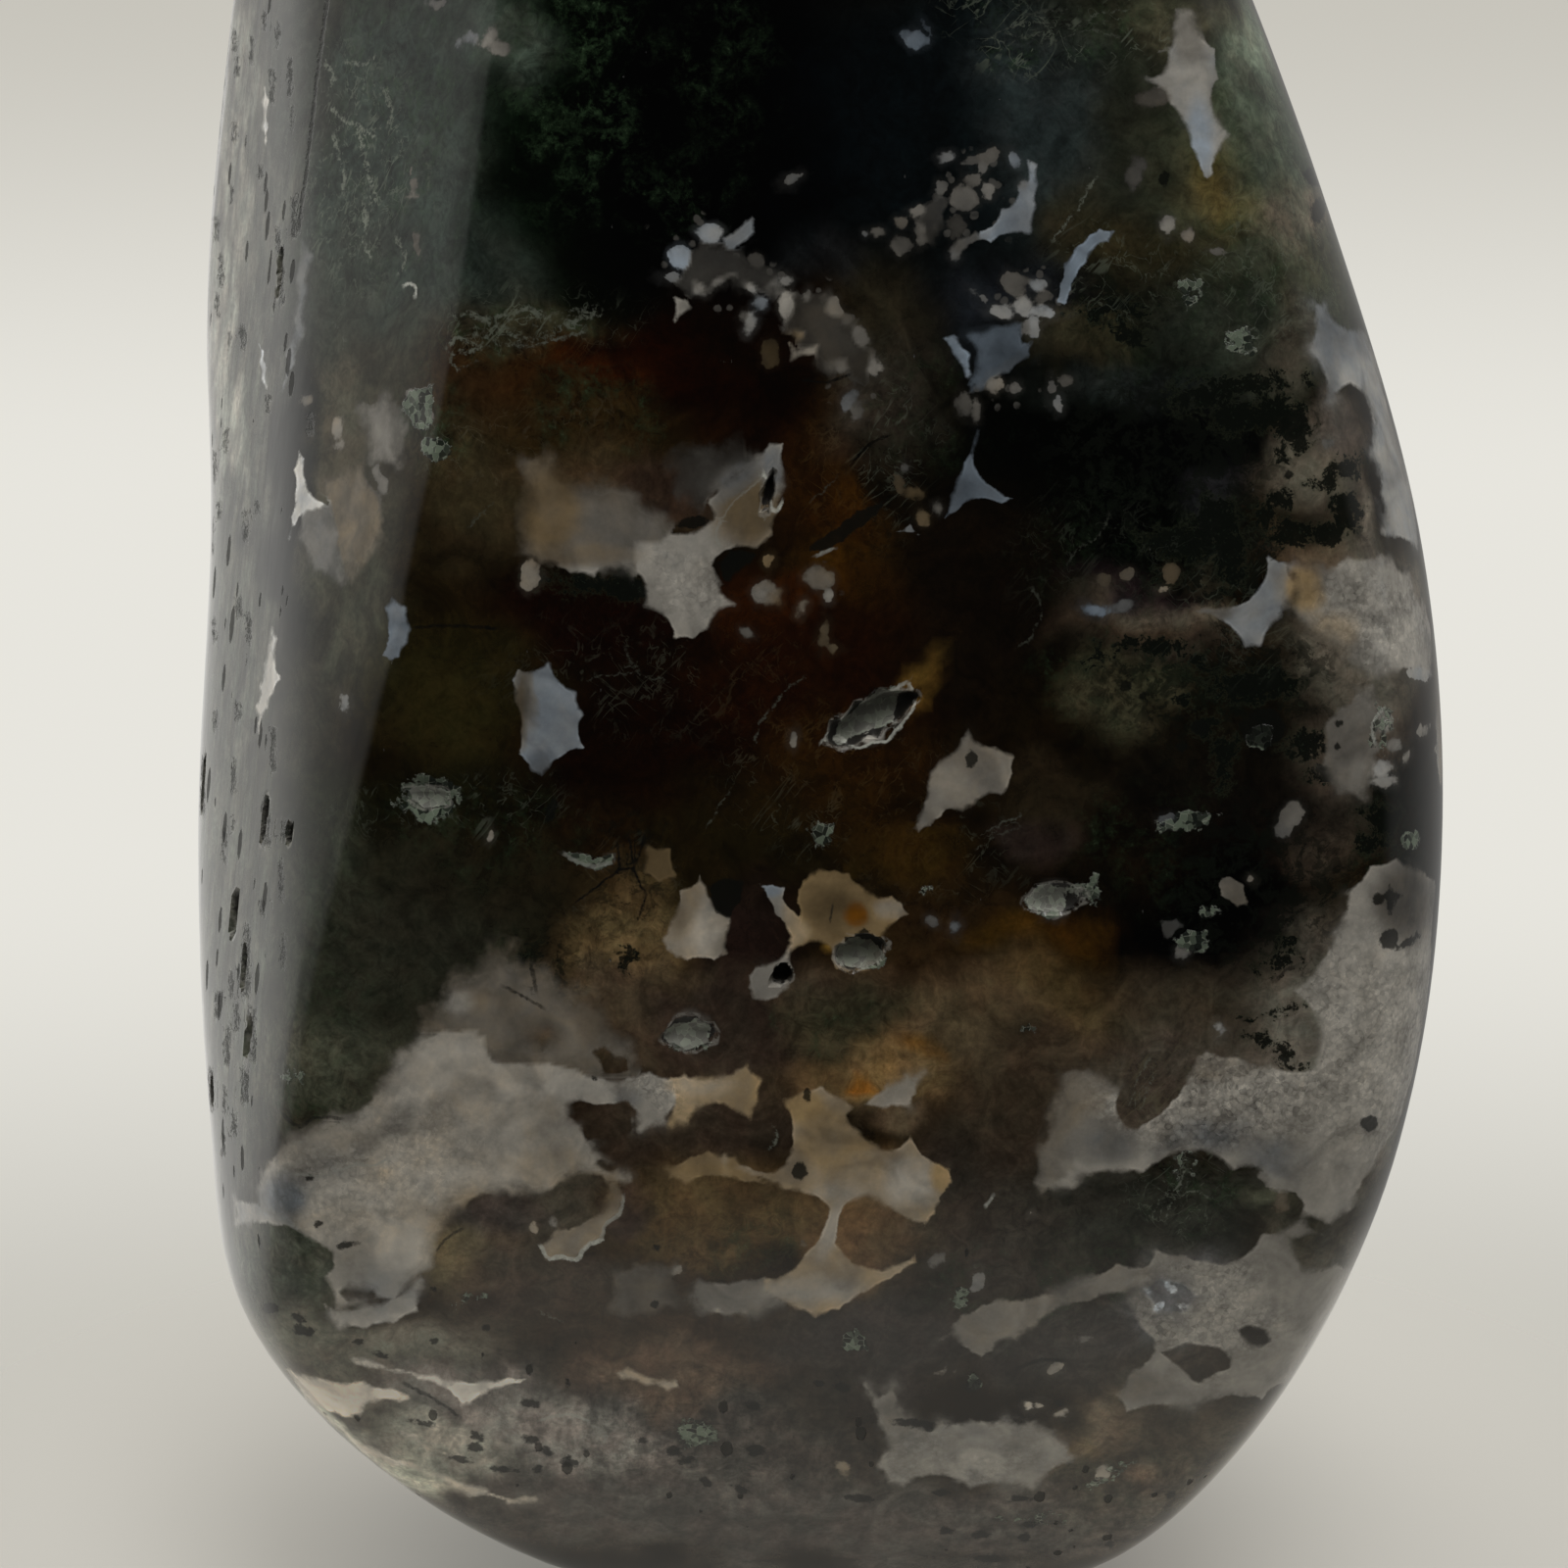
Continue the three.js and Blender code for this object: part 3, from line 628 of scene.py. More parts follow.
# Name, edge softness, then the outline of a dark growth that is pressed into the pale ground.
DARK_LOBES = [
    ("left foot lobe", 2, [
        (236, 1252), (262, 1249), (293, 1250), (316, 1262), (339, 1278), (342, 1292), (330, 1304),
        (336, 1330), (300, 1340), (250, 1330)]),
    ("branching band", 1.6, [
        (578, 1126), (592, 1122), (608, 1127), (628, 1126), (638, 1123), (650, 1133), (651, 1158),
        (668, 1151), (684, 1147), (701, 1146), (708, 1134), (721, 1126), (738, 1126), (751, 1133),
        (766, 1142), (776, 1128), (789, 1123), (801, 1126), (807, 1138), (805, 1160), (809, 1172),
        (801, 1187), (791, 1196), (776, 1195), (762, 1189), (750, 1180), (738, 1177), (721, 1172),
        (704, 1179), (688, 1186), (678, 1192), (664, 1189), (645, 1199), (625, 1199), (605, 1189),
        (608, 1181), (621, 1176), (605, 1172), (595, 1159), (592, 1149), (580, 1140)]),
    ("purple grey band", 3, [
        (470, 1243), (486, 1228), (506, 1225), (526, 1222), (548, 1226), (552, 1256), (520, 1256),
        (490, 1258), (474, 1252)]),
    ("brown lobe", 2, [
        (690, 1210), (740, 1201), (755, 1204), (774, 1211), (793, 1206), (803, 1216), (820, 1217),
        (837, 1223), (847, 1233), (843, 1247), (830, 1264), (822, 1279), (810, 1293), (798, 1302),
        (784, 1303), (764, 1306), (740, 1304), (690, 1290)]),
    ("tan lobe", 3, [
        (856, 1240), (861, 1230), (871, 1223), (886, 1219), (900, 1226), (914, 1236), (932, 1246),
        (946, 1247), (940, 1270), (930, 1286), (900, 1298), (870, 1290), (852, 1270)]),
    ("lobe in the cusped patch", 5, [
        (876, 1140), (890, 1130), (914, 1131), (930, 1142), (931, 1158), (924, 1166), (908, 1175),
        (896, 1168), (880, 1154)]),
    ("right notch lobe", 1.6, [
        (931, 1146), (940, 1150), (946, 1176), (958, 1186), (972, 1189), (990, 1160), (970, 1140),
        (945, 1130)]),
    ("druse lobe", 2.5, [
        (684, 1012), (700, 996), (740, 996), (768, 1010), (772, 1050), (760, 1070), (744, 1084),
        (738, 1098), (720, 1104), (702, 1100), (690, 1086), (672, 1080), (666, 1064), (678, 1040)]),
    ("lobe above the hooked cusp", 1.6, [
        (774, 1066), (800, 1040), (850, 1050), (862, 1076), (836, 1096), (812, 1110), (792, 1116),
        (786, 1123), (774, 1122), (772, 1110), (778, 1100)]),
    ("round lobe in the cream patch", 1.2, [
        (819, 976), (821, 966), (829, 961), (839, 963), (847, 971), (848, 984), (850, 1000),
        (830, 1004), (820, 992)]),
    ("lobe left of the strand", 1.2, [
        (745, 934), (760, 908), (776, 906), (786, 922), (798, 944), (806, 952), (804, 966),
        (794, 978), (778, 984), (766, 990), (762, 1000), (752, 1004), (742, 980)]),
    ("great right band", 1.6, [
        (1070, 1212), (1094, 1212), (1107, 1199), (1124, 1193), (1141, 1194), (1153, 1199),
        (1167, 1196), (1182, 1187), (1196, 1177), (1216, 1172), (1235, 1174), (1245, 1179),
        (1250, 1189), (1257, 1194), (1269, 1189), (1281, 1189), (1290, 1196), (1293, 1206),
        (1299, 1216), (1322, 1217), (1330, 1228), (1327, 1245), (1315, 1254), (1298, 1253),
        (1288, 1259), (1274, 1267), (1271, 1281), (1259, 1288), (1247, 1291), (1235, 1288),
        (1211, 1281), (1196, 1279), (1177, 1276), (1150, 1274), (1128, 1284), (1094, 1293),
        (1040, 1300), (1000, 1280), (1010, 1230)]),
    ("lower right lobe", 1.8, [
        (1090, 1340), (1109, 1332), (1124, 1322), (1138, 1322), (1153, 1330), (1160, 1342),
        (1165, 1354), (1179, 1366), (1177, 1378), (1167, 1393), (1153, 1402), (1133, 1405),
        (1080, 1410), (1060, 1380)]),
    ("brown pool", 1.2, [
        (1184, 1380), (1196, 1376), (1211, 1370), (1225, 1372), (1245, 1374), (1257, 1388),
        (1254, 1397), (1242, 1401), (1223, 1412), (1216, 1408), (1206, 1397), (1194, 1388)]),
    ("dark gaps of the white cells", 16, [
        (1164, 1316), (1180, 1302), (1212, 1304), (1230, 1322), (1206, 1344), (1180, 1340)]),
    ("small brown pool", 2.5, [
        (1262, 1356), (1276, 1352), (1294, 1358), (1298, 1368), (1288, 1376), (1274, 1374)]),
    ("right foot lobes", 2.5, [
        (1315, 1262), (1326, 1262), (1342, 1256), (1362, 1262), (1368, 1276), (1360, 1294),
        (1344, 1298), (1330, 1296), (1320, 1280)]),
    ("right strand", 1.8, [
        (1346, 1248), (1366, 1247), (1378, 1235), (1393, 1221), (1410, 1211), (1425, 1205),
        (1415, 1232), (1395, 1238), (1385, 1250), (1371, 1259), (1354, 1254)]),
    ("right edge lobe", 1.5, [
        (1436, 1134), (1419, 1158), (1407, 1174), (1402, 1189), (1410, 1201), (1424, 1201),
        (1434, 1180)]),
    ("threaded lobe", 2, [
        (1150, 1070), (1196, 1078), (1206, 1090), (1214, 1099), (1211, 1107), (1196, 1116),
        (1184, 1126), (1172, 1141), (1160, 1153), (1148, 1150), (1138, 1133), (1140, 1116)]),
    ("lobe by the white bead", 2, [
        (1236, 1056), (1250, 1046), (1280, 1046), (1294, 1056), (1290, 1074), (1268, 1080),
        (1250, 1072)]),
    ("purple lobes", 1.8, [
        (1296, 646), (1304, 630), (1322, 628), (1334, 642), (1340, 660), (1356, 676), (1376, 682),
        (1386, 700), (1380, 718), (1360, 726), (1340, 716), (1322, 702), (1300, 700), (1290, 676)]),
    ("right black lobe", 1.8, [
        (1420, 716), (1430, 698), (1446, 692), (1466, 696), (1480, 720), (1470, 744), (1448, 746),
        (1430, 738)]),
    ("patch's upper lobe", 2, [
        (558, 1222), (568, 1202), (592, 1192), (614, 1198), (624, 1216), (616, 1236), (598, 1246),
        (580, 1256), (562, 1246)]),
    ("last right foot lobe", 2, [
        (1214, 1440), (1240, 1427), (1281, 1424), (1288, 1429), (1300, 1415), (1316, 1410),
        (1300, 1444), (1260, 1470)]),
    ("small lobe under the moss", 3, [(604, 1072), (616, 1068), (628, 1078), (642, 1080),
        (642, 1092), (630, 1098), (616, 1094), (612, 1084)]),
    ("oval hollow", 1.6, [
        (344, 1318), (352, 1311), (372, 1312), (384, 1319), (385, 1325), (372, 1331), (354, 1329)]),
    ("brown spot in the left ground", 7, [(540, 1056), (560, 1046), (568, 1058), (552, 1074)]),
]

# Across, down, two radii, turn, brightness and warmth of each small bead or chip, and of one tiny painted highlight.
PALE_BEADS = [
    (695, 263, 12, 12, 0, 106, 0.15), (724, 238, 13, 10, 0, 106, 0.25), (685, 283, 10, 5, 0, 80, 0.3),
    (712, 291, 11, 9, 50, 90, 0.4), (732, 287, 8, 5, -30, 94, 0.4), (748, 279, 14, 4, 5, 96, 0.45),
    (765, 290, 12, 5, 60, 102, 0.4), (786, 290, 12, 7, 40, 100, 0.4), (800, 287, 7, 6, 0, 84, 0.4),
    (775, 310, 7, 8, 0, 96, 0.25), (804, 310, 9, 14, 0, 108, 0.5), (823, 305, 5, 8, 0, 86, 0.5),
    (827, 324, 9, 9, 0, 86, 0.75), (847, 317, 13, 16, -30, 78, 0.6), (766, 330, 7, 10, 20, 102, 0.35),
    (758, 324, 4, 5, 0, 64, 0.5), (862, 330, 9, 9, 0, 58, 0.6), (820, 340, 7, 6, 30, 84, 0.8),
    (859, 368, 14, 13, 0, 78, 0.55), (876, 345, 10, 14, -30, 72, 0.55), (890, 374, 11, 8, 30, 92, 0.5),
    (838, 342, 7, 6, 0, 84, 0.75), (787, 361, 10, 14, 0, 40, 0.9), (770, 266, 10, 9, 0, 46, 0.5),
    (866, 408, 5, 9, 30, 74, 0.3), (876, 420, 6, 12, 35, 66, 0.5), (881, 238, 3, 3, 0, 66, 0.3),
    (896, 236, 5, 3, 0, 62, 0.5), (936, 216, 10, 5, -10, 76, 0.5), (919, 227, 6, 5, 0, 62, 0.6),
    (919, 250, 11, 10, -40, 62, 0.5), (942, 236, 9, 13, 10, 72, 0.5), (966, 161, 8, 5, -15, 80, 0.3),
    (990, 164, 8, 5, 0, 56, 0.4), (1013, 159, 12, 7, -10, 66, 0.5), (1035, 163, 7, 5, 50, 92, 0.2),
    (1046, 190, 7, 7, 0, 92, 0.3), (984, 203, 14, 13, 0, 76, 0.45), (992, 184, 9, 9, 0, 70, 0.5),
    (1008, 194, 7, 6, 40, 84, 0.4), (960, 194, 6, 9, 20, 66, 0.4), (976, 229, 10, 12, 0, 52, 0.5),
    (952, 226, 7, 14, 10, 62, 0.6), (1003, 172, 5, 4, 30, 70, 0.4), (974, 260, 6, 7, 0, 84, 0.3),
    (935, 40, 12, 10, 20, 86, 0.1), (946, 29, 4, 7, -40, 62, 0.1), (926, 34, 6, 4, 0, 70, 0.1),
    (1059, 292, 8, 6, 0, 102, 0.3), (1021, 316, 12, 7, 0, 100, 0.35), (1044, 312, 8, 10, 30, 102, 0.35),
    (1066, 319, 14, 6, 5, 108, 0.3), (1055, 332, 6, 11, 15, 96, 0.3), (1035, 290, 14, 11, 30, 66, 0.5),
    (1064, 302, 10, 5, -20, 62, 0.5), (1014, 392, 9, 9, 0, 88, 0.55), (1047, 335, 5, 6, 0, 74, 0.4),
    (1035, 395, 4, 5, 0, 74, 0.4), (1002, 303, 8, 3, 30, 70, 0.3), (984, 413, 6, 10, -10, 60, 0.5),
    (996, 420, 3, 8, 0, 70, 0.5), (1087, 388, 8, 6, 0, 62, 0.5), (1073, 396, 4, 8, 0, 66, 0.4),
    (1079, 412, 6, 8, 0, 84, 0.3), (957, 519, 6, 6, 0, 74, 0.5), (942, 527, 8, 7, 0, 62, 0.85),
    (1192, 230, 8, 10, 0, 98, 0.45), (1212, 239, 7, 7, 0, 84, 0.6), (1238, 255, 9, 4, 10, 68, 0.5),
    (1178, 99, 20, 10, -10, 56, 0.6), (1159, 176, 8, 18, 20, 56, 0.4), (542, 588, 11, 14, 0, 92, 0.65),
    (577, 563, 9, 8, 0, 96, 0.7), (598, 547, 6, 4, 30, 84, 0.7), (563, 555, 5, 6, 0, 80, 0.7),
    (612, 553, 5, 5, 0, 88, 0.6), (636, 572, 6, 4, 10, 106, 0.45), (780, 605, 13, 12, 0, 78, 0.6),
    (784, 574, 5, 7, 0, 74, 0.85), (836, 590, 14, 11, 0, 80, 0.65), (844, 609, 4, 6, 0, 96, 0.5),
    (818, 620, 4, 7, 15, 88, 0.7), (841, 648, 5, 13, 10, 56, 0.8), (850, 662, 7, 4, 0, 56, 0.8),
    (922, 477, 6, 4, -35, 64, 0.4), (917, 494, 5, 9, -15, 54, 0.8), (932, 503, 8, 6, 0, 54, 0.85),
    (763, 646, 7, 6, 0, 64, 0.5), (886, 750, 8, 6, 0, 119, 0.5), (810, 756, 2, 5, 0, 90, 0.6),
    (500, 850, 3, 5, 0, 92, 0.6), (951, 940, 6, 4, 30, 74, 0.4), (975, 946, 5, 8, 10, 78, 0.3),
    (1075, 936, 6, 4, 0, 92, 0.5), (1276, 896, 4, 4, 0, 84, 0.6), (1207, 972, 7, 6, 0, 76, 0.4),
    (1245, 1051, 6, 8, 0, 100, 0.4), (1088, 1159, 10, 10, 0, 96, 0.7), (545, 1252, 4, 6, 0, 96, 0.7),
    (562, 1247, 4, 6, 0, 92, 0.5), (689, 1297, 6, 4, -20, 92, 0.6), (732, 1336, 6, 4, 0, 106, 0.65),
    (760, 1337, 4, 3, 0, 96, 0.65), (954, 1286, 9, 6, -30, 84, 0.5), (998, 1305, 7, 12, 0, 78, 0.4),
    (1111, 1366, 9, 3, -5, 84, 0.5), (1308, 1226, 8, 11, 20, 74, 0.75), (1359, 1237, 9, 7, -20, 96, 0.6),
    (1296, 1204, 12, 7, 20, 90, 0.5), (1118, 623, 14, 7, 10, 86, 0.05), (1145, 618, 14, 6, -10, 68, 0.3),
    (1371, 583, 11, 9, 0, 116, 0.5), (1450, 686, 14, 8, 0, 98, 0.35), (1412, 736, 9, 12, 0, 104, 0.45),
    (1411, 783, 11, 9, 0, 114, 0.4), (1434, 772, 4, 5, 0, 100, 0.5), (1400, 764, 8, 9, 0, 88, 0.45),
    (1424, 760, 9, 8, 0, 92, 0.45), (1414, 797, 10, 7, 0, 98, 0.4), (1319, 832, 13, 11, -40, 70, 0.5),
    (1308, 847, 8, 8, 0, 66, 0.4), (1470, 767, 4, 7, 0, 96, 0.5), (1452, 745, 9, 4, -30, 84, 0.5),
    (1149, 587, 7, 6, 0, 60, 0.7), (1125, 590, 8, 6, 0, 50, 0.7), (1195, 586, 9, 10, 0, 56, 0.8),
    (1188, 602, 4, 3, 0, 92, 0.7), (1192, 837, 10, 6, 0, 60, 0.3), (500, 36, 7, 12, 40, 92, 0.5),
    (478, 40, 12, 6, -30, 84, 0.3), (510, 50, 9, 7, 0, 88, 0.5), (446, 4, 8, 4, 0, 70, 0.4),
    (420, 200, 6, 4, 0, 84, 0.6), (422, 188, 3, 9, 0, 72, 0.6), (426, 246, 3, 8, 0, 70, 0.6),
    (808, 184, 10, 6, -30, 74, 0.35), (352, 718, 4, 8, 0, 92, 0.4), (1233, 70, 8, 20, 0, 116, 0.3),
    (268, 1490, 4, 3, 0, 74, 0.4), (1050, 1436, 4, 3, 0, 116, 0.6), (1060, 1433, 4, 3, 0, 100, 0.6),
    (1084, 1443, 6, 3, -30, 92, 0.6), (1126, 1503, 8, 7, -40, 92, 0.6),
    (1168, 1316, 8, 3, 40, 124, 0.25), (1180, 1336, 8, 4, -25, 126, 0.25), (1196, 1314, 7, 3, 30, 120, 0.25),
    (1206, 1332, 9, 4, 20, 124, 0.3), (1226, 1318, 7, 4, -30, 118, 0.3), (1238, 1340, 9, 4, 20, 120, 0.4),
    (1182, 1356, 8, 4, 10, 122, 0.3), (1206, 1358, 9, 4, -10, 124, 0.4), (1222, 1300, 7, 3, 0, 112, 0.3), (820, 1268, 3, 3, 0, 60, 0.8),
    # The first row here, at across 1053, is a painted highlight: a tiny glint.
    (1053, 1238, 2, 2, 0, 120, 0.6), (961, 1366, 5, 2, -30, 92, 0.6), (963, 1400, 8, 3, -10, 78, 0.6),
    (1075, 1396, 7, 4, -35, 92, 0.6), (860, 1497, 5, 8, -20, 76, 0.7), (344, 440, 5, 10, 5, 92, 0.6),
    (346, 455, 6, 4, -20, 92, 0.6), (384, 480, 3, 8, 15, 84, 0.5), (390, 496, 5, 8, 10, 84, 0.5),
    (388, 420, 3, 9, -35, 104, 0.5), (312, 408, 6, 5, 0, 84, 0.6), (422, 404, 8, 7, 0, 80, 0.5),
    (432, 424, 10, 8, 0, 76, 0.5), (440, 456, 6, 9, 0, 72, 0.5), (1355, 452, 6, 5, 0, 66, 0.4),
]

# Across, down, two radii, turn, then the brightness, warmth and edge softness that this stretch of
# the pale growths takes.
PALE_SHADES = [
    (765, 520, 34, 40, 20, 66, 0.85, 2.5), (790, 476, 12, 24, 0, 84, 0.3, 3),
    (752, 486, 30, 14, -40, 72, 0.35, 4), (560, 520, 30, 50, 0, 68, 0.85, 8),
    (600, 566, 44, 12, 0, 78, 0.75, 2), (530, 725, 10, 44, 8, 62, 0.75, 2.5),
    (548, 780, 12, 12, 0, 72, 0.2, 2), (700, 925, 14, 30, 20, 82, 0.7, 2),
    (722, 950, 14, 22, 0, 120, 0.6, 1.5), (787, 908, 14, 8, 0, 92, 0.15, 1.5),
    (806, 945, 10, 30, 0, 106, 0.75, 1.5), (780, 1000, 22, 20, 0, 84, 0.5, 3),
    (850, 903, 30, 12, 0, 84, 1.0, 2.5), (816, 950, 12, 16, 0, 104, 0.8, 1.5),
    (908, 928, 22, 12, 0, 96, 0.7, 2), (846, 926, 28, 22, 0, 60, 1.1, 2),
    (868, 975, 20, 14, 0, 92, 0.4, 1.5), (712, 1108, 34, 10, 0, 118, 0.75, 3),
    (640, 1122, 14, 12, 0, 92, 0.4, 3), (820, 1130, 20, 16, 0, 90, 1.0, 2.5),
    (850, 1165, 40, 26, 0, 84, 0.85, 3), (930, 1208, 30, 24, 0, 122, 0.6, 1.5),
    (960, 1200, 10, 16, 0, 104, 0.95, 1.5), (860, 1217, 30, 8, 0, 104, 0.65, 2.5),
    (848, 1256, 10, 30, 20, 106, 0.6, 2), (830, 1316, 50, 12, 0, 100, 0.6, 2.5),
    (290, 1220, 26, 24, 0, 82, 0.25, 6), (420, 1148, 24, 20, 0, 76, 0.5, 8),
    (540, 1140, 50, 18, 0, 110, 0.6, 5), (595, 1112, 36, 12, 0, 114, 0.5, 3),
    (390, 1312, 44, 26, 0, 94, 0.4, 5), (565, 1192, 36, 22, 0, 102, 0.65, 8),
    (1090, 1130, 26, 30, 0, 84, 0.65, 9), (400, 1190, 60, 16, -16, 114, 0.6, 5),
    (330, 1200, 30, 20, 0, 104, 0.45, 5), (470, 1130, 60, 22, -30, 112, 0.6, 6),
    (470, 1236, 40, 22, -40, 104, 0.7, 7), (380, 1160, 26, 12, -30, 96, 0.55, 5),
    (1230, 1160, 60, 18, 0, 80, 0.35, 3), (1300, 1180, 36, 20, 0, 84, 0.35, 3),
    (1400, 1050, 60, 90, 0, 113, 0.5, 4), (1180, 1150, 26, 14, -45, 100, 0.5, 2),
    (1240, 1090, 40, 16, 0, 90, 0.6, 4),
    (1260, 1320, 40, 30, 0, 92, 0.5, 3), (1236, 625, 20, 8, 0, 74, 0.5, 4),
    (1272, 642, 18, 12, 0, 100, 0.25, 2), (1330, 600, 20, 24, 0, 96, 0.95, 6),
    (1360, 650, 28, 28, 0, 90, 0.7, 8), (1214, 38, 14, 28, 0, 94, 0.5, 4),
    (1224, 140, 14, 40, 0, 114, 0.2, 2), (1366, 340, 26, 34, 0, 74, 0.25, 2),
    (1352, 390, 14, 20, 0, 78, 0.3, 4), (915, 1440, 18, 24, 0, 78, 0.6, 5),
    (1112, 1312, 50, 12, 0, 80, 0.55, 6), (1150, 1412, 40, 16, 0, 72, 0.6, 5),
    (874, 934, 14, 13, 0, 60, 1.42, 2), (852, 952, 12, 6, 30, 66, 1.15, 2), (705, 598, 26, 22, 0, 114, 0.5, 2),
    (466, 1022, 16, 12, 0, 100, 0.55, 8), (1434, 920, 30, 40, 0, 54, 0.6, 3), (1130, 1168, 34, 20, 0, 76, 0.4, 4), (600, 1222, 34, 20, -30, 62, 0.8, 5),
]

# Across, down, two radii and turn of each dark spot and pit that lies on the growths.
DARK_SPOTS = [
    (707, 533, 14, 6, -10), (991, 775, 6, 9, 0), (881, 953, 6, 5, 0), (797, 993, 8, 9, 0),
    (1315, 484, 5, 5, 0), (1366, 762, 4, 4, 0), (1406, 918, 6, 6, 0), (1419, 918, 4, 13, 0),
    (1420, 914, 9, 4, 0), (1418, 958, 9, 11, 30), (1437, 961, 14, 4, -35), (1397, 1147, 9, 8, 0),
    (816, 1195, 8, 9, 0), (992, 1414, 9, 6, 0), (1080, 1431, 5, 4, 0), (1194, 1525, 5, 4, 0),
    (1133, 1576, 4, 4, 0), (1045, 1569, 6, 5, 0), (928, 1452, 17, 4, 5), (316, 1202, 4, 3, 0),
    (325, 1249, 4, 4, 0), (355, 1270, 10, 4, -10), (433, 1452, 12, 3, 10), (487, 1466, 8, 4, 30),
    (485, 1477, 9, 4, 0), (470, 1489, 11, 4, 10), (513, 1499, 14, 3, 5), (549, 1499, 5, 4, 0),
    (543, 1469, 10, 4, 15), (558, 1481, 6, 4, 20), (580, 1492, 10, 5, 10), (687, 1481, 8, 5, 0),
    (540, 1432, 10, 4, 10), (305, 1345, 8, 4, 20), (310, 1358, 12, 5, 10), (275, 1335, 10, 5, 0),
    (367, 1369, 5, 3, 0), (390, 1383, 8, 3, 20), (443, 1368, 4, 3, 0), (497, 1355, 4, 3, 0),
    (443, 1316, 3, 3, 0), (670, 1272, 4, 3, 0), (668, 1331, 4, 4, 0), (768, 1434, 9, 5, 20),
    (770, 1480, 10, 6, 0), (700, 1490, 8, 4, 0), (655, 1470, 5, 3, 0), (720, 1512, 6, 4, 40),
    (757, 1520, 10, 4, 20), (562, 828, 5, 14, 20), (1188, 182, 5, 8, 0), (1342, 180, 12, 9, 20),
    (1345, 215, 7, 14, 10), (824, 1118, 3, 6, 0), (1366, 738, 4, 4, 0), (1345, 752, 6, 4, 0),
    (1148, 700, 6, 5, 0), (1166, 710, 5, 4, 0), (1225, 742, 9, 8, 0), (1206, 762, 6, 6, 0),
    (1420, 1285, 5, 4, 0), (860, 1415, 10, 5, 15), (835, 1412, 5, 4, 0), (948, 1456, 6, 5, 0),
    (877, 1529, 14, 4, 5), (960, 1523, 8, 4, 0), (1040, 1530, 12, 3, 0), (1050, 1556, 8, 4, 0),
    (1000, 1566, 10, 4, 0), (1010, 1590, 16, 4, 0), (965, 1562, 7, 4, 0), (606, 1100, 3, 3, 0),
]
DARK_SHARDS = [
    ("black splinter", [
        (825, 563), (830, 555), (853, 540), (874, 522), (907, 509), (892, 527), (861, 550),
        (848, 560)]),
    ("black ground of the round druse", [
        (1264, 738), (1280, 726), (1300, 722), (1312, 740), (1306, 756), (1290, 764), (1270, 756)]),
    ("black notch by the lilac patch", [
        (734, 574), (744, 564), (756, 562), (772, 566), (764, 576), (752, 582), (746, 596),
        (738, 590)]),
    ("black cusp left of the strand", [
        (722, 905), (740, 896), (760, 900), (756, 916), (744, 936), (730, 930)]),
]

# Across, down, two radii and turn of the clumps whose ragged union makes the black moss.
CLUMPS = [
    (1262, 424, 26, 16, 0), (1296, 424, 24, 18, 0), (1320, 434, 18, 22, 10), (1326, 452, 10, 12, 0),
    (1270, 392, 50, 9, -4), (1230, 404, 26, 12, -20), (1306, 462, 8, 8, 0),
    (1374, 478, 18, 10, -20), (1352, 492, 12, 8, -30), (1376, 522, 16, 18, 0), (1352, 545, 18, 14, 0),
    (1318, 545, 24, 14, 10), (1292, 528, 14, 12, 0), (1304, 512, 12, 8, 0), (1240, 530, 20, 24, 0),
    (1256, 572, 14, 26, 0), (1210, 556, 40, 16, 8), (1190, 588, 12, 10, 0), (1130, 314, 26, 6, -6),
    (1166, 322, 16, 6, 30), (1150, 340, 16, 10, 20), (1118, 320, 8, 6, 0), (1186, 660, 34, 8, 0),
    (1216, 672, 20, 6, 35), (1126, 668, 14, 6, -30), (1150, 656, 14, 5, 0),
    (1280, 700, 40, 16, 0), (1230, 740, 14, 12, 20), (1250, 776, 12, 24, 10), (1205, 715, 8, 8, 0), (1410, 836, 20, 14, 0), (1440, 886, 16, 20, 0),
    (1400, 860, 14, 8, 0), (1300, 985, 20, 7, -10), (1316, 962, 8, 12, 30), (1404, 912, 7, 6, 0),
    (1418, 905, 6, 10, 0), (1424, 914, 9, 4, 0), (1408, 950, 12, 5, 0), (1418, 968, 7, 10, 20),
    (1432, 957, 14, 4, -35), (1284, 1060, 14, 7, 10), (1312, 1074, 8, 12, -20), (1296, 1034, 16, 3, -15),
    (1330, 1090, 10, 3, 20), (640, 975, 8, 10, 0), (530, 990, 7, 12, 10), (560, 1010, 8, 6, 0),
    (1330, 760, 20, 14, 0), (1350, 790, 14, 10, 0),
    (604, 596, 48, 8, 4),
    (640, 600, 20, 16, 0), (560, 590, 20, 7, 0),
]
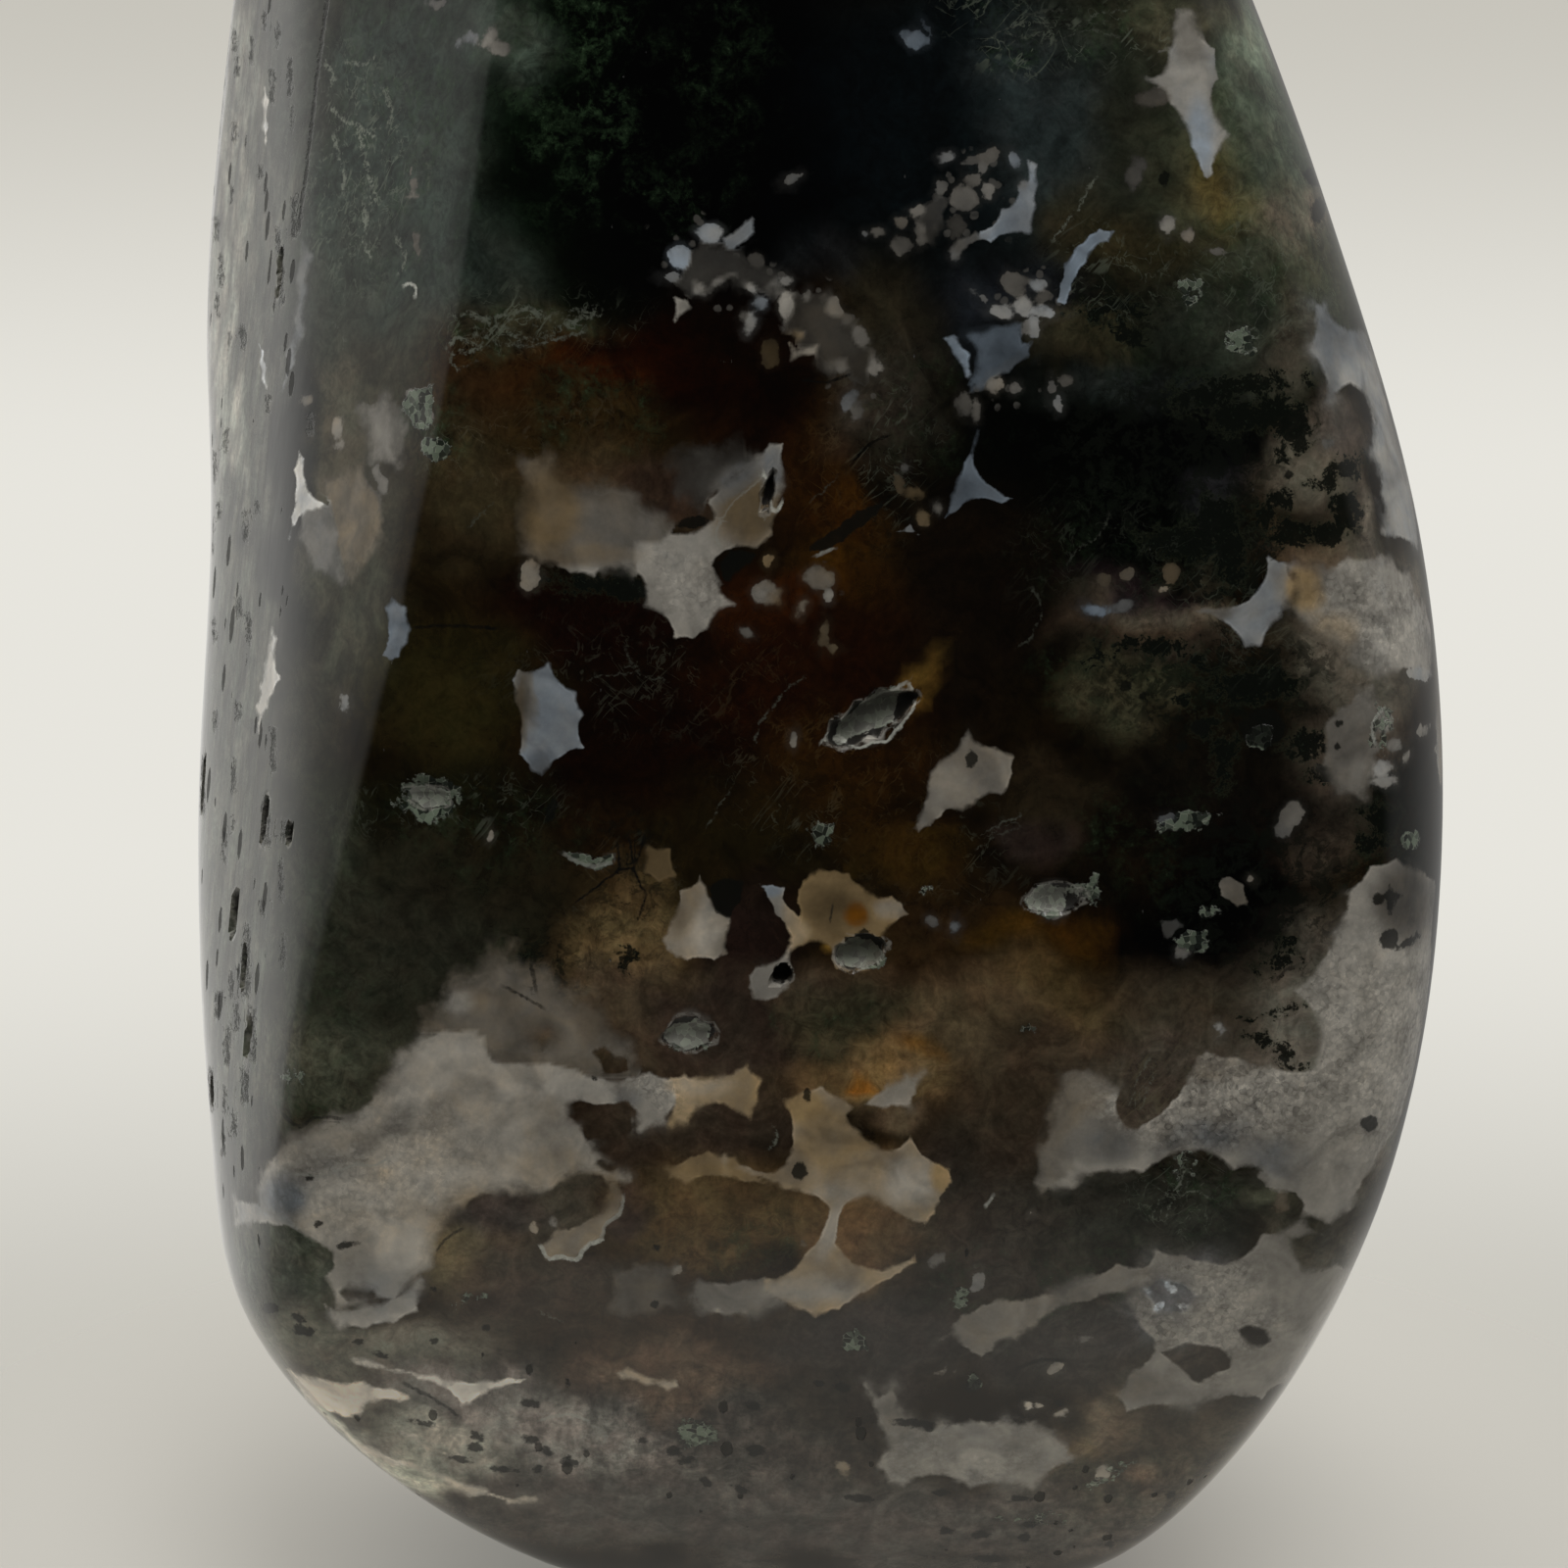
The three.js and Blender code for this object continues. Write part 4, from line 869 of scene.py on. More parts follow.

# Width, brightness as it shows, strength, then the points of each crack, rim or vein, and of two short painted
# highlights (glints). FIBRES have the same kind of rows for moss fibres, which are ragged and take the moss's colour.
LINES = [
    (1.8, 104, 0.5, [(736, 530), (748, 512), (762, 500), (776, 488)]),
    (3, 150, 0.9, [(780, 484), (786, 498), (786, 514), (792, 522), (798, 512)]),
    (2, 106, 0.5, [(736, 530), (730, 545), (735, 556)]),
    (3, 125, 0.9, [(840, 755), (862, 731), (878, 719), (902, 709), (925, 696)]),
    (3, 145, 0.9, [(840, 755), (860, 757), (876, 764), (890, 757), (905, 756), (921, 738),
                   (934, 719), (928, 698)]),
    (2.5, 110, 0.7, [(927, 701), (920, 718), (913, 738)]),
    (4, 136, 1.0, [(552, 1272), (560, 1284), (574, 1282), (588, 1286), (598, 1272), (615, 1264)]),
    (3.5, 118, 0.8, [(615, 1262), (618, 1249), (633, 1237), (636, 1222)]),
    (4, 105, 0.8, [(576, 872), (590, 880), (606, 884), (622, 880)]),
    # This row is a painted highlight: a short glint.
    (3, 125, 0.9, [(1006, 1230), (1012, 1222)]),
    (3, 42, 1.0, [(334, 0), (328, 45), (321, 100), (314, 165), (309, 200), (305, 235)]),
    (2.5, 150, 0.9, [(413, 291), (419, 289), (424, 294), (424, 300)]),
    (3, 14, 0.9, [(424, 640), (460, 638), (506, 641)]),
    (2.2, 16, 1.0, [(630, 862), (632, 884), (627, 891), (598, 913), (588, 920)]),
    (2.2, 16, 1.0, [(642, 855), (647, 884), (652, 900), (659, 913), (651, 937)]),
    (2.5, 14, 0.9, [(657, 855), (650, 880)]),
    (2.5, 14, 0.9, [(632, 888), (645, 886)]),
    (2.5, 30, 0.8, [(446, 1275), (458, 1262), (472, 1254)]),
    (3, 30, 0.9, [(412, 1412), (440, 1426), (467, 1444)]),
    (3.5, 26, 0.9, [(1038, 1397), (1060, 1388), (1087, 1388)]),
    (3, 22, 0.8, [(516, 1007), (535, 1017), (554, 1028)]),
    (3, 22, 0.8, [(542, 985), (547, 1010)]),
    (2, 28, 0.8, [(850, 923), (847, 940)]),
    (2.5, 14, 0.9, [(820, 388), (845, 390), (866, 382)]),
    (3, 4, 1.0, [(872, 470), (885, 455), (905, 445)]),
    (2.5, 116, 0.6, [(340, 1196), (365, 1188), (380, 1190), (395, 1182)]),
    (2.5, 110, 0.6, [(305, 1198), (325, 1200)]),
    (3, 118, 0.7, [(552, 1449), (570, 1444), (586, 1444), (600, 1450)]),
    (3, 104, 0.6, [(604, 1455), (618, 1462), (616, 1470)]),
    # This row is a painted highlight: a glint on the black splinter.
    (3, 110, 0.8, [(850, 560), (834, 567)]),
    (2.5, 130, 0.8, [(1411, 723), (1400, 739), (1403, 758)]),
    (3, 14, 0.9, [(1304, 999), (1312, 990), (1322, 986)]),
    (3, 28, 0.8, [(290, 1138), (306, 1150), (322, 1140), (350, 1142)]),
]
FIBRES = [
    (3.5, 100, 0.8, [(338, 108), (350, 122), (366, 128), (382, 140)]),
    (3.5, 104, 0.8, [(366, 132), (371, 156), (378, 182), (384, 204)]),
    (3.5, 96, 0.8, [(341, 138), (345, 158), (352, 176), (350, 196)]),
    (3.5, 100, 0.8, [(370, 206), (374, 228), (372, 246), (378, 262)]),
    (3.5, 92, 0.8, [(352, 62), (368, 66), (382, 58)]),
    (3.5, 88, 0.8, [(392, 90), (400, 112), (396, 130)]),
    (3.5, 92, 0.8, [(330, 60), (340, 78), (336, 94)]),
    (3.5, 88, 0.8, [(404, 240), (414, 262), (408, 280)]),
    (1.8, 80, 0.5, [(340, 330), (352, 342), (350, 356)]),
    (1.8, 66, 0.5, [(430, 150), (440, 176), (436, 196), (446, 214)]),
    (4.5, 80, 0.7, [(462, 322), (480, 319), (492, 326), (510, 322), (530, 316), (552, 318)]),
    (5, 78, 0.7, [(498, 330), (516, 336), (530, 346), (548, 344), (566, 334), (590, 326), (612, 320)]),
    (4, 88, 0.7, [(455, 354), (466, 346), (480, 349), (492, 353), (478, 359), (462, 360)]),
    (4, 74, 0.7, [(484, 341), (500, 345), (520, 352), (545, 352), (570, 345), (596, 338)]),
    (3.5, 70, 0.6, [(540, 327), (560, 322), (584, 316), (606, 312)]),
    (2.5, 84, 0.6, [(460, 368), (466, 378), (478, 372)]),
    (2, 66, 0.6, [(1004, 42), (1028, 28), (1060, 22), (1092, 26), (1122, 14), (1150, 10)]),
    (2, 62, 0.6, [(1020, 50), (1050, 36), (1080, 40), (1112, 30), (1140, 36)]),
    (2, 58, 0.5, [(1040, 14), (1070, 12), (1100, 6)]),
    (2, 84, 0.7, [(1075, 242), (1090, 224), (1100, 214), (1108, 196), (1119, 180)]),
    (1.6, 84, 0.5, [(1084, 236), (1098, 214), (1106, 200)]),
    (2.5, 56, 0.6, [(1054, 602), (1064, 625), (1052, 650), (1040, 660)]),
    (2, 84, 0.6, [(550, 1337), (570, 1347)]),
    (2.5, 96, 0.6, [(786, 1170), (793, 1160), (789, 1150)]),
    (2, 66, 0.6, [(770, 757), (775, 737), (790, 720), (802, 704), (822, 690)]),
    (2, 60, 0.6, [(604, 692), (640, 686), (656, 690), (682, 696)]),
    (2, 56, 0.6, [(640, 664), (650, 684)]),
    (2, 70, 0.6, [(1000, 852), (1018, 842), (1042, 830)]),
    (2, 64, 0.6, [(996, 866), (1020, 852), (1038, 844)]),
    (2, 70, 0.6, [(722, 842), (735, 822), (744, 806)]),
    (2, 62, 0.5, [(476, 540), (490, 525), (500, 516)]),
    (2, 60, 0.5, [(828, 510), (842, 500), (852, 488)]),
    (2, 84, 0.5, [(1152, 1128), (1160, 1102), (1172, 1080)]),
    (2, 84, 0.5, [(1164, 1130), (1172, 1108), (1180, 1092)]),
    (2.5, 84, 0.8, [(1176, 1240), (1184, 1224), (1202, 1210), (1210, 1192)]),
    (2.5, 80, 0.8, [(1190, 1244), (1196, 1226), (1216, 1216), (1232, 1220)]),
    (2, 58, 0.5, [(1090, 574), (1100, 560), (1122, 546), (1130, 528)]),
    (2.5, 84, 0.5, [(1252, 356), (1262, 340), (1280, 336), (1284, 352), (1270, 362)]),
    (2.5, 80, 0.6, [(330, 1152), (352, 1146)]),
]
PORE_TONE = 42
PORE_STRENGTH = 0.9
PORE_RAGGED = 0.9

# Across, down, width and height of each upright pore of the left face.
PORES = [
    (270, 20, 4, 12), (284, 36, 4, 22), (240, 42, 5, 19), (257, 50, 3, 22), (242, 68, 4, 17),
    (278, 88, 5, 30), (296, 78, 4, 32), (298, 122, 3, 18), (240, 136, 5, 14), (266, 176, 6, 10),
    (222, 113, 4, 30), (221, 234, 5, 20), (226, 276, 4, 30), (300, 222, 5, 38), (284, 247, 5, 22),
    (288, 290, 4, 38), (236, 200, 3, 14), (222, 312, 3, 20), (234, 347, 3, 12), (248, 345, 5, 19),
    (231, 449, 5, 19), (219, 476, 4, 26), (224, 521, 3, 14), (251, 536, 5, 25),
    (263, 518, 4, 10), (216, 548, 3, 30), (244, 620, 6, 15), (254, 642, 5, 25), (219, 643, 3, 17),
    (274, 412, 3, 14), (243, 726, 6, 12), (220, 735, 4, 14), (279, 765, 5, 40),
    (239, 792, 4, 30), (207, 801, 4, 55), (272, 839, 8, 44), (290, 848, 5, 14), (287, 898, 4, 36),
    (229, 862, 4, 28), (252, 959, 6, 25), (268, 926, 5, 10), (289, 971, 4, 25),
    (251, 990, 8, 50), (236, 1005, 4, 24), (222, 1026, 5, 20), (242, 1038, 5, 24),
    (258, 1055, 6, 50), (232, 1068, 6, 32), (214, 1112, 8, 38), (250, 1108, 7, 30),
    (230, 1122, 3, 22), (240, 1148, 5, 17), (228, 1168, 3, 16), (317, 433, 5, 11), (238, 840, 3, 12),
]

# Across, down, two radii, turn, colour as it shows, then strength, of the soft depths of colour under the patches, and
# of a few pale rows by the left faces that are painted reflection of the bright wall. Later rows lie over earlier
# ones.
DEPTH_BASE = (18, 14, 8)
DEPTHS = [
    # The pale row at across 510 is a painted reflection: the bright wall's veil on the left front face, carried to its
    # ridge.
    (590, 120, 150, 210, 0, (7, 12, 7), 1.0), (750, 140, 160, 210, 0, (1, 2, 3), 1.0), (510, 30, 50, 60, 8, (54, 60, 54), 0.9),
    (970, 130, 150, 190, 0, (11, 15, 17), 0.9), (1180, 120, 130, 180, 0, (34, 36, 30), 0.9),
    (1060, 110, 60, 120, 0, (35, 40, 41), 0.8),
    (1290, 230, 90, 150, -20, (46, 47, 36), 0.9), (1250, 190, 44, 50, 0, (62, 59, 42), 0.8),
    (1120, 240, 60, 40, 0, (40, 36, 26), 0.7), (1030, 330, 90, 60, 0, (26, 29, 34), 0.8),
    (866, 350, 70, 76, 0, (37, 34, 26), 0.8), (830, 270, 46, 30, 0, (24, 25, 26), 0.8), (1270, 350, 120, 60, 0, (36, 39, 34), 0.9),
    # The pale narrow row at across 228 is a painted reflection of the bright wall along the left flank's edge.
    (262, 300, 54, 400, 4, (62, 62, 56), 1.0), (228, 300, 16, 420, 2, (93, 92, 85), 0.9),
    (236, 860, 60, 440, 0, (60, 61, 55), 1.0), (400, 170, 90, 260, 5, (38, 44, 40), 1.0), (380, 330, 80, 90, 0, (44, 47, 42), 0.8),
    (350, 450, 60, 90, 0, (60, 57, 48), 0.8), (350, 620, 60, 100, 0, (52, 52, 44), 0.9),
    (310, 820, 50, 160, 0, (38, 38, 32), 0.9), (480, 290, 80, 70, 0, (38, 43, 40), 0.8),
    (560, 380, 150, 56, 0, (38, 29, 19), 0.9), (620, 380, 110, 40, 0, (34, 20, 9), 0.8), (710, 400, 110, 50, 20, (17, 8, 3), 0.9),
    (750, 350, 100, 60, 0, (14, 8, 4), 0.9), (600, 445, 130, 50, 0, (33, 26, 15), 0.9),
    (620, 505, 100, 44, 0, (56, 46, 34), 0.9), (690, 492, 60, 30, 0, (40, 31, 26), 0.8),
    (830, 475, 50, 90, 20, (32, 20, 9), 0.9), (860, 585, 70, 46, 0, (44, 29, 10), 0.9),
    (905, 420, 60, 60, 0, (42, 38, 34), 0.8), (470, 500, 60, 80, 0, (48, 42, 30), 0.8),
    (1100, 500, 160, 160, 0, (3, 5, 3), 1.0), (1160, 393, 100, 26, 0, (31, 34, 33), 0.9), (1000, 600, 120, 110, 0, (17, 13, 9), 0.9),
    (600, 630, 150, 45, 0, (18, 9, 5), 0.9), (680, 760, 150, 80, 0, (17, 9, 4), 0.9),
    (470, 700, 80, 90, 0, (32, 29, 16), 0.9), (820, 700, 120, 80, 0, (26, 14, 6), 0.9),
    (948, 686, 42, 13, -60, (76, 58, 28), 0.8), (870, 800, 100, 60, 0, (32, 21, 9), 0.9), (920, 874, 70, 28, 0, (42, 31, 14), 0.8),
    (740, 850, 130, 60, 0, (24, 20, 11), 0.8), (595, 870, 50, 40, 0, (26, 18, 10), 0.8), (400, 820, 120, 40, 0, (20, 20, 12), 0.8),
    (440, 910, 140, 60, 0, (29, 27, 20), 0.9), (330, 950, 60, 130, 0, (38, 40, 34), 0.9),
    (430, 1010, 120, 110, 0, (35, 35, 29), 0.9), (340, 1096, 70, 60, 0, (58, 59, 50), 0.9),
    (650, 970, 70, 70, 0, (84, 71, 50), 0.9), (560, 1050, 50, 50, 0, (80, 68, 54), 0.7),
    (650, 1040, 50, 60, 0, (64, 54, 42), 0.9), (618, 1004, 20, 36, 10, (56, 47, 38), 0.8), (770, 950, 50, 50, 0, (27, 20, 18), 0.9),
    (740, 1050, 90, 60, 0, (44, 37, 32), 0.9), (860, 1000, 60, 30, 0, (58, 50, 41), 0.9),
    (960, 960, 100, 60, 0, (36, 27, 17), 0.9), (1060, 960, 60, 20, 0, (54, 38, 14), 0.8),
    (1010, 1050, 120, 50, 0, (73, 62, 47), 0.9), (1120, 1010, 90, 50, 0, (62, 50, 32), 0.8),
    (880, 1104, 90, 34, 0, (88, 72, 50), 0.9), (942, 1084, 15, 8, 0, (96, 68, 32), 0.8), (905, 1150, 34, 24, 0, (74, 63, 50), 0.9),
    (1220, 930, 120, 85, 0, (3, 2, 2), 1.0), (1130, 860, 110, 60, 0, (19, 15, 10), 0.9),
    (1110, 955, 30, 30, 0, (46, 31, 12), 0.8), (1280, 800, 140, 70, 0, (15, 13, 11), 0.9), (1080, 810, 60, 30, 0, (32, 27, 20), 0.8),
    (1190, 640, 90, 40, 0, (34, 30, 26), 0.9), (1153, 697, 40, 28, 0, (38, 38, 26), 0.9),
    (1270, 730, 130, 60, 0, (18, 16, 12), 0.9), (1390, 640, 70, 100, 0, (86, 82, 74), 0.8),
    (1390, 780, 50, 60, 0, (76, 68, 60), 0.7), (1330, 480, 60, 60, 0, (55, 49, 43), 0.9),
    (1220, 450, 60, 60, 0, (6, 7, 7), 0.9), (1236, 508, 30, 30, 0, (30, 30, 32), 0.8), (1430, 840, 50, 60, 0, (18, 17, 14), 0.9),
    (1310, 1000, 50, 28, 0, (40, 34, 27), 0.8), (1200, 1030, 90, 40, 0, (50, 45, 37), 0.9),
    (1180, 1110, 120, 60, 0, (66, 60, 54), 0.8), (1040, 1130, 90, 80, 0, (48, 41, 33), 0.9),
    (1180, 1240, 180, 60, 0, (34, 34, 30), 1.0), (1380, 1080, 110, 130, 0, (96, 93, 86), 0.8),
    (700, 1150, 130, 60, 0, (46, 39, 33), 0.9), (740, 1240, 120, 50, 0, (68, 56, 39), 0.9),
    (900, 1250, 70, 60, 0, (86, 68, 48), 0.9), (1000, 1240, 90, 80, 0, (42, 38, 34), 0.9),
    (490, 1280, 70, 32, 0, (98, 87, 62), 0.9), (560, 1310, 120, 50, 0, (51, 45, 40), 0.9),
    (590, 1220, 40, 40, 0, (56, 52, 45), 0.9), (506, 1234, 64, 32, 0, (54, 49, 46), 0.9), (720, 1350, 160, 50, 0, (42, 35, 28), 0.9),
    (900, 1370, 120, 60, 0, (41, 38, 36), 0.9), (1120, 1370, 110, 60, 0, (43, 41, 39), 0.9),
    (280, 1300, 70, 70, 0, (60, 62, 55), 0.9), (400, 1400, 120, 50, -10, (84, 80, 72), 0.8),
    (1340, 1290, 60, 50, 0, (58, 56, 49), 0.8), (1200, 1330, 60, 50, 0, (74, 74, 76), 0.9), (1200, 1440, 110, 50, 0, (46, 42, 36), 0.8),
    (640, 1470, 260, 70, 5, (53, 50, 47), 0.9), (690, 1400, 90, 30, 0, (68, 56, 46), 0.9), (1150, 1510, 160, 60, -10, (50, 46, 39), 0.9),
    (1122, 1458, 50, 20, -30, (70, 61, 50), 0.6), (800, 1550, 420, 50, 3, (56, 53, 50), 0.9),
    (363, 1320, 22, 11, 0, (46, 42, 38), 1.0), (340, 1240, 40, 30, 0, (86, 84, 76), 0.6),
    (873, 1112, 14, 10, 0, (96, 60, 22), 0.8),
    (676, 990, 14, 30, 0, (66, 56, 42), 0.8), (861, 948, 16, 9, 0, (120, 92, 40), 0.6),
    (540, 1450, 120, 34, 10, (94, 90, 86), 0.9), (450, 1484, 70, 24, 20, (118, 116, 108), 0.8),
    (400, 1500, 60, 18, 28, (138, 136, 124), 0.9), (330, 1460, 50, 14, 38, (150, 148, 136), 0.8),
    (370, 1370, 110, 22, 6, (82, 80, 72), 0.8), (280, 1360, 40, 20, 30, (70, 70, 62), 0.8),
    (660, 1232, 26, 18, -10, (48, 40, 36), 0.9), (540, 1052, 26, 22, 40, (70, 57, 46), 0.9),
    (1170, 600, 70, 16, 0, (26, 20, 22), 0.8), (1204, 622, 76, 18, -6, (72, 66, 57), 0.8), (1160, 640, 80, 12, -4, (46, 38, 31), 0.8),
    (1330, 575, 44, 16, 20, (74, 62, 50), 0.8), (1396, 520, 16, 50, -8, (88, 80, 72), 0.8),
    (1322, 488, 42, 42, 0, (72, 68, 60), 0.9), (1360, 440, 34, 30, 0, (60, 56, 52), 0.8),
    (1300, 110, 40, 100, -18, (56, 61, 52), 0.9), (1276, 40, 30, 50, 0, (84, 90, 78), 0.9),
    (1320, 225, 36, 34, -15, (78, 72, 62), 0.9), (1238, 186, 22, 26, 0, (70, 62, 38), 0.8),
    (1165, 240, 50, 34, 0, (38, 35, 24), 0.8), (1320, 350, 20, 60, 0, (52, 48, 42), 0.8),
    (1110, 350, 60, 22, 0, (46, 42, 31), 0.8), (1150, 700, 44, 40, 20, (50, 48, 37), 0.9),
    (1055, 852, 42, 22, 0, (36, 30, 28), 0.8), (690, 372, 60, 26, 25, (20, 9, 2), 0.9),
    (620, 384, 60, 16, 6, (36, 18, 7), 0.8), (850, 525, 40, 40, 0, (38, 24, 9), 0.9),
    (770, 620, 50, 34, 0, (38, 21, 8), 0.9), (1104, 1468, 18, 10, -20, (72, 62, 46), 0.8),
    (1166, 1514, 13, 12, 0, (74, 62, 52), 0.9), (1122, 1452, 16, 9, -30, (72, 64, 54), 0.8),
    (900, 1092, 20, 9, -30, (96, 78, 50), 0.7), (1285, 1230, 18, 12, 0, (62, 62, 52), 0.8),
    # The pale row at across 228 is a painted reflection of the bright wall along the left flank's edge.
    (292, 520, 26, 160, 2, (14, 15, 14), 0.9), (228, 390, 14, 120, 0, (116, 115, 107), 0.8),
    (550, 338, 66, 20, -6, (40, 40, 31), 0.8), (300, 60, 30, 90, 4, (40, 42, 38), 0.8), (1280, 262, 40, 24, 0, (56, 57, 48), 0.8),
    (1350, 870, 50, 36, 0, (52, 46, 40), 0.7), (1190, 30, 50, 30, 0, (60, 58, 46), 0.7), (1250, 570, 30, 30, 0, (36, 34, 28), 0.8),
    (706, 1010, 36, 18, 0, (58, 50, 38), 0.6), (860, 1040, 50, 34, 0, (50, 46, 35), 0.9),
]

# Across, down, two radii, turn and amount, for each growth that the finish draws from noise.
LIT_MOSS = [
    (1080, 30, 90, 34, 8, 0.9), (530, 340, 90, 26, -6, 0.8), (700, 200, 60, 60, 0, 0.4),
    (585, 100, 80, 130, 0, 1.0), (400, 120, 80, 160, 0, 0.9), (430, 240, 80, 90, 0, 0.5),
    (1290, 180, 90, 150, 0, 0.5), (1200, 340, 90, 60, 0, 0.35), (610, 420, 70, 40, 0, 0.8),
    (860, 1040, 70, 36, 0, 0.8), (540, 1000, 60, 50, 0, 0.5), (300, 1100, 70, 70, 0, 0.7),
    (330, 960, 70, 120, 0, 0.4), (1210, 1210, 60, 40, 0, 0.8), (1430, 900, 50, 60, 0, 0.7),
    (950, 420, 80, 60, 0, 0.3), (1160, 690, 90, 50, 0, 0.6), (730, 60, 60, 60, 0, 0.4), (440, 420, 40, 60, 0, 0.8),
    (1180, 860, 90, 60, 0, 0.4), (1150, 550, 90, 80, 0, 0.4), (480, 850, 120, 40, 0, 0.4), (760, 1270, 60, 30, 0, 0.6),
    (1060, 1300, 120, 60, 0, 0.5), (1190, 1500, 90, 60, 0, 0.4), (300, 1290, 60, 40, 0, 0.5),
]
BLACK_MOSS = [
    (1270, 420, 70, 40, 0, 1.0), (1380, 530, 30, 30, 0, 0.6), (1180, 480, 120, 120, 0, 0.8),
    (1140, 328, 60, 34, 0, 0.9), (1250, 690, 130, 80, 0, 0.8), (1290, 910, 120, 90, 0, 0.8),
    (880, 530, 60, 50, 0, 0.4), (1260, 560, 60, 60, 0, 0.9), (1430, 830, 50, 60, 0, 1.0),
    (640, 880, 50, 60, 0, 0.6), (550, 1000, 50, 50, 0, 0.8), (620, 960, 60, 60, 0, 0.4),
    (700, 1460, 120, 60, 0, 0.4), (300, 400, 60, 80, 0, 0.3), (1290, 1060, 40, 36, 0, 0.25),
]
THREADS = [
    (540, 336, 100, 34, -6, 0.8), (1090, 34, 120, 36, 8, 0.7), (680, 690, 150, 60, 0, 0.25),
    (850, 800, 110, 60, 0, 0.45), (870, 480, 60, 110, 20, 0.4), (480, 450, 70, 50, 0, 0.5),
    (360, 170, 60, 130, 0, 0.9), (1290, 260, 90, 80, 0, 0.4), (960, 870, 80, 60, 0, 0.35),
    (1140, 280, 60, 60, 60, 0.5), (1180, 1100, 40, 50, 30, 0.8), (1130, 560, 100, 70, 0, 0.12), (900, 1100, 80, 40, -30, 0.4),
    (640, 930, 60, 60, 0, 0.5), (740, 1260, 90, 40, 0, 0.5), (560, 420, 60, 60, 0, 0.3),
    (1260, 620, 80, 60, 0, 0.3), (450, 830, 120, 30, 0, 0.4), (1200, 1210, 70, 50, -30, 0.6),
]
DRUSES = [
    (436, 815, 28, 26, 0, 0.9), (888, 732, 38, 15, -40, 1.2), (600, 876, 26, 8, 14, 0.9),
    (704, 1056, 26, 18, 0, 0.9), (882, 976, 22, 16, 0, 1.1), (1068, 920, 26, 18, 0, 0.8),
    (1110, 908, 16, 10, -20, 0.7), (1234, 932, 16, 12, 0, 0.6), (1216, 962, 18, 16, 0, 0.7),
    (1218, 298, 16, 20, 0, 0.6), (1264, 350, 20, 18, 0, 0.6), (1289, 753, 16, 14, 0, 0.9),
    (738, 372, 12, 9, 0, 0.55), (430, 414, 17, 24, 10, 0.9), (441, 456, 12, 12, 0, 0.9), (839, 850, 14, 14, 0, 0.7),
    (1046, 1052, 18, 12, 0, 0.5), (873, 1370, 12, 14, 0, 0.9), (714, 1462, 26, 16, 0, 0.6),
    (1140, 1500, 50, 10, -20, 0.45), (1050, 1548, 70, 8, 2, 0.4), (1441, 858, 10, 12, 0, 0.8),
    (1212, 838, 44, 10, -8, 0.7), (410, 820, 16, 12, 0, 0.4), (946, 908, 18, 16, 0, 0.4),
    (992, 1414, 10, 8, 0, 0.7), (978, 1322, 18, 10, 0, 0.6), (480, 1322, 20, 8, 0, 0.5),
    (1210, 1190, 20, 20, 0, 0.4), (1412, 740, 18, 30, 0, 0.5), (300, 1095, 24, 14, 0, 0.4),
]
BEADED = [
    (740, 280, 80, 50, 30, 0.8), (840, 340, 60, 50, 0, 0.7), (990, 210, 80, 55, 0, 0.6),
    (1050, 310, 60, 40, 0, 0.8), (1030, 390, 60, 40, 0, 0.6), (570, 560, 60, 24, 0, 0.5),
    (820, 600, 70, 30, 0, 0.5), (950, 510, 40, 40, 0, 0.4), (1210, 1335, 60, 40, 30, 0.9),
    (1370, 1190, 60, 40, 0, 0.4), (1300, 600, 60, 60, 0, 0.3), (930, 1300, 60, 30, 0, 0.4),
    (750, 1310, 90, 20, 0, 0.5), (870, 400, 50, 30, 0, 0.6), (1400, 770, 40, 50, 0, 0.5),
]
GRAINY = [
    (1380, 1060, 130, 120, 0, 0.6), (1220, 1340, 80, 60, 0, 0.8), (380, 1200, 110, 60, -20, 0.4),
    (1400, 640, 70, 60, 0, 0.6), (980, 1484, 90, 30, 0, 0.3), (660, 1122, 30, 24, 0, 0.7),
    (720, 600, 60, 40, 0, 0.5), (1240, 1120, 120, 50, 0, 0.9),
]
PORED = [
    (250, 300, 50, 420, 0, 1.0), (240, 850, 50, 420, 0, 1.0), (300, 560, 60, 120, 0, 0.3),
    (700, 1470, 300, 70, 5, 0.8), (450, 1470, 140, 60, 10, 0.5), (1100, 1540, 200, 60, 0, 0.9),
    (1080, 1290, 120, 60, 0, 0.4), (280, 1290, 60, 60, 0, 0.5),
]


def arc_share(places, row):
    """How far out places lie in a turned ellipse: 0 at its middle and 1 on its line."""
    turn = math.radians(row[4])
    across = places[:, 0] - row[0]
    down = places[:, 1] - row[1]
    along = (across * math.cos(turn) + down * math.sin(turn)) / row[2]
    aside = (down * math.cos(turn) - across * math.sin(turn)) / row[3]
    return np.hypot(along, aside)


def outline_gap(places, outline):
    """Distance from places to an outline, positive inside it."""
    starts = np.array(outline, float)
    ends = np.roll(starts, -1, 0)
    sides = ends - starts
    away = places[:, None, :] - starts[None]
    along = np.clip((away * sides).sum(2) / (sides ** 2).sum(1), 0, 1)
    gap = np.sqrt(((away - along[..., None] * sides) ** 2).sum(2)).min(1)
    x, y = places[:, :1], places[:, 1:]
    spans = (starts[:, 1] > y) != (ends[:, 1] > y)
    rise = np.where(sides[:, 1] == 0, 1, sides[:, 1])
    crossing = starts[:, 0] + (y - starts[:, 1]) * sides[:, 0] / rise
    inside = (spans & (x < crossing)).sum(1) % 2 == 1
    return np.where(inside, gap, -gap)


FAR_PX = 34.0
SINK = 0.10


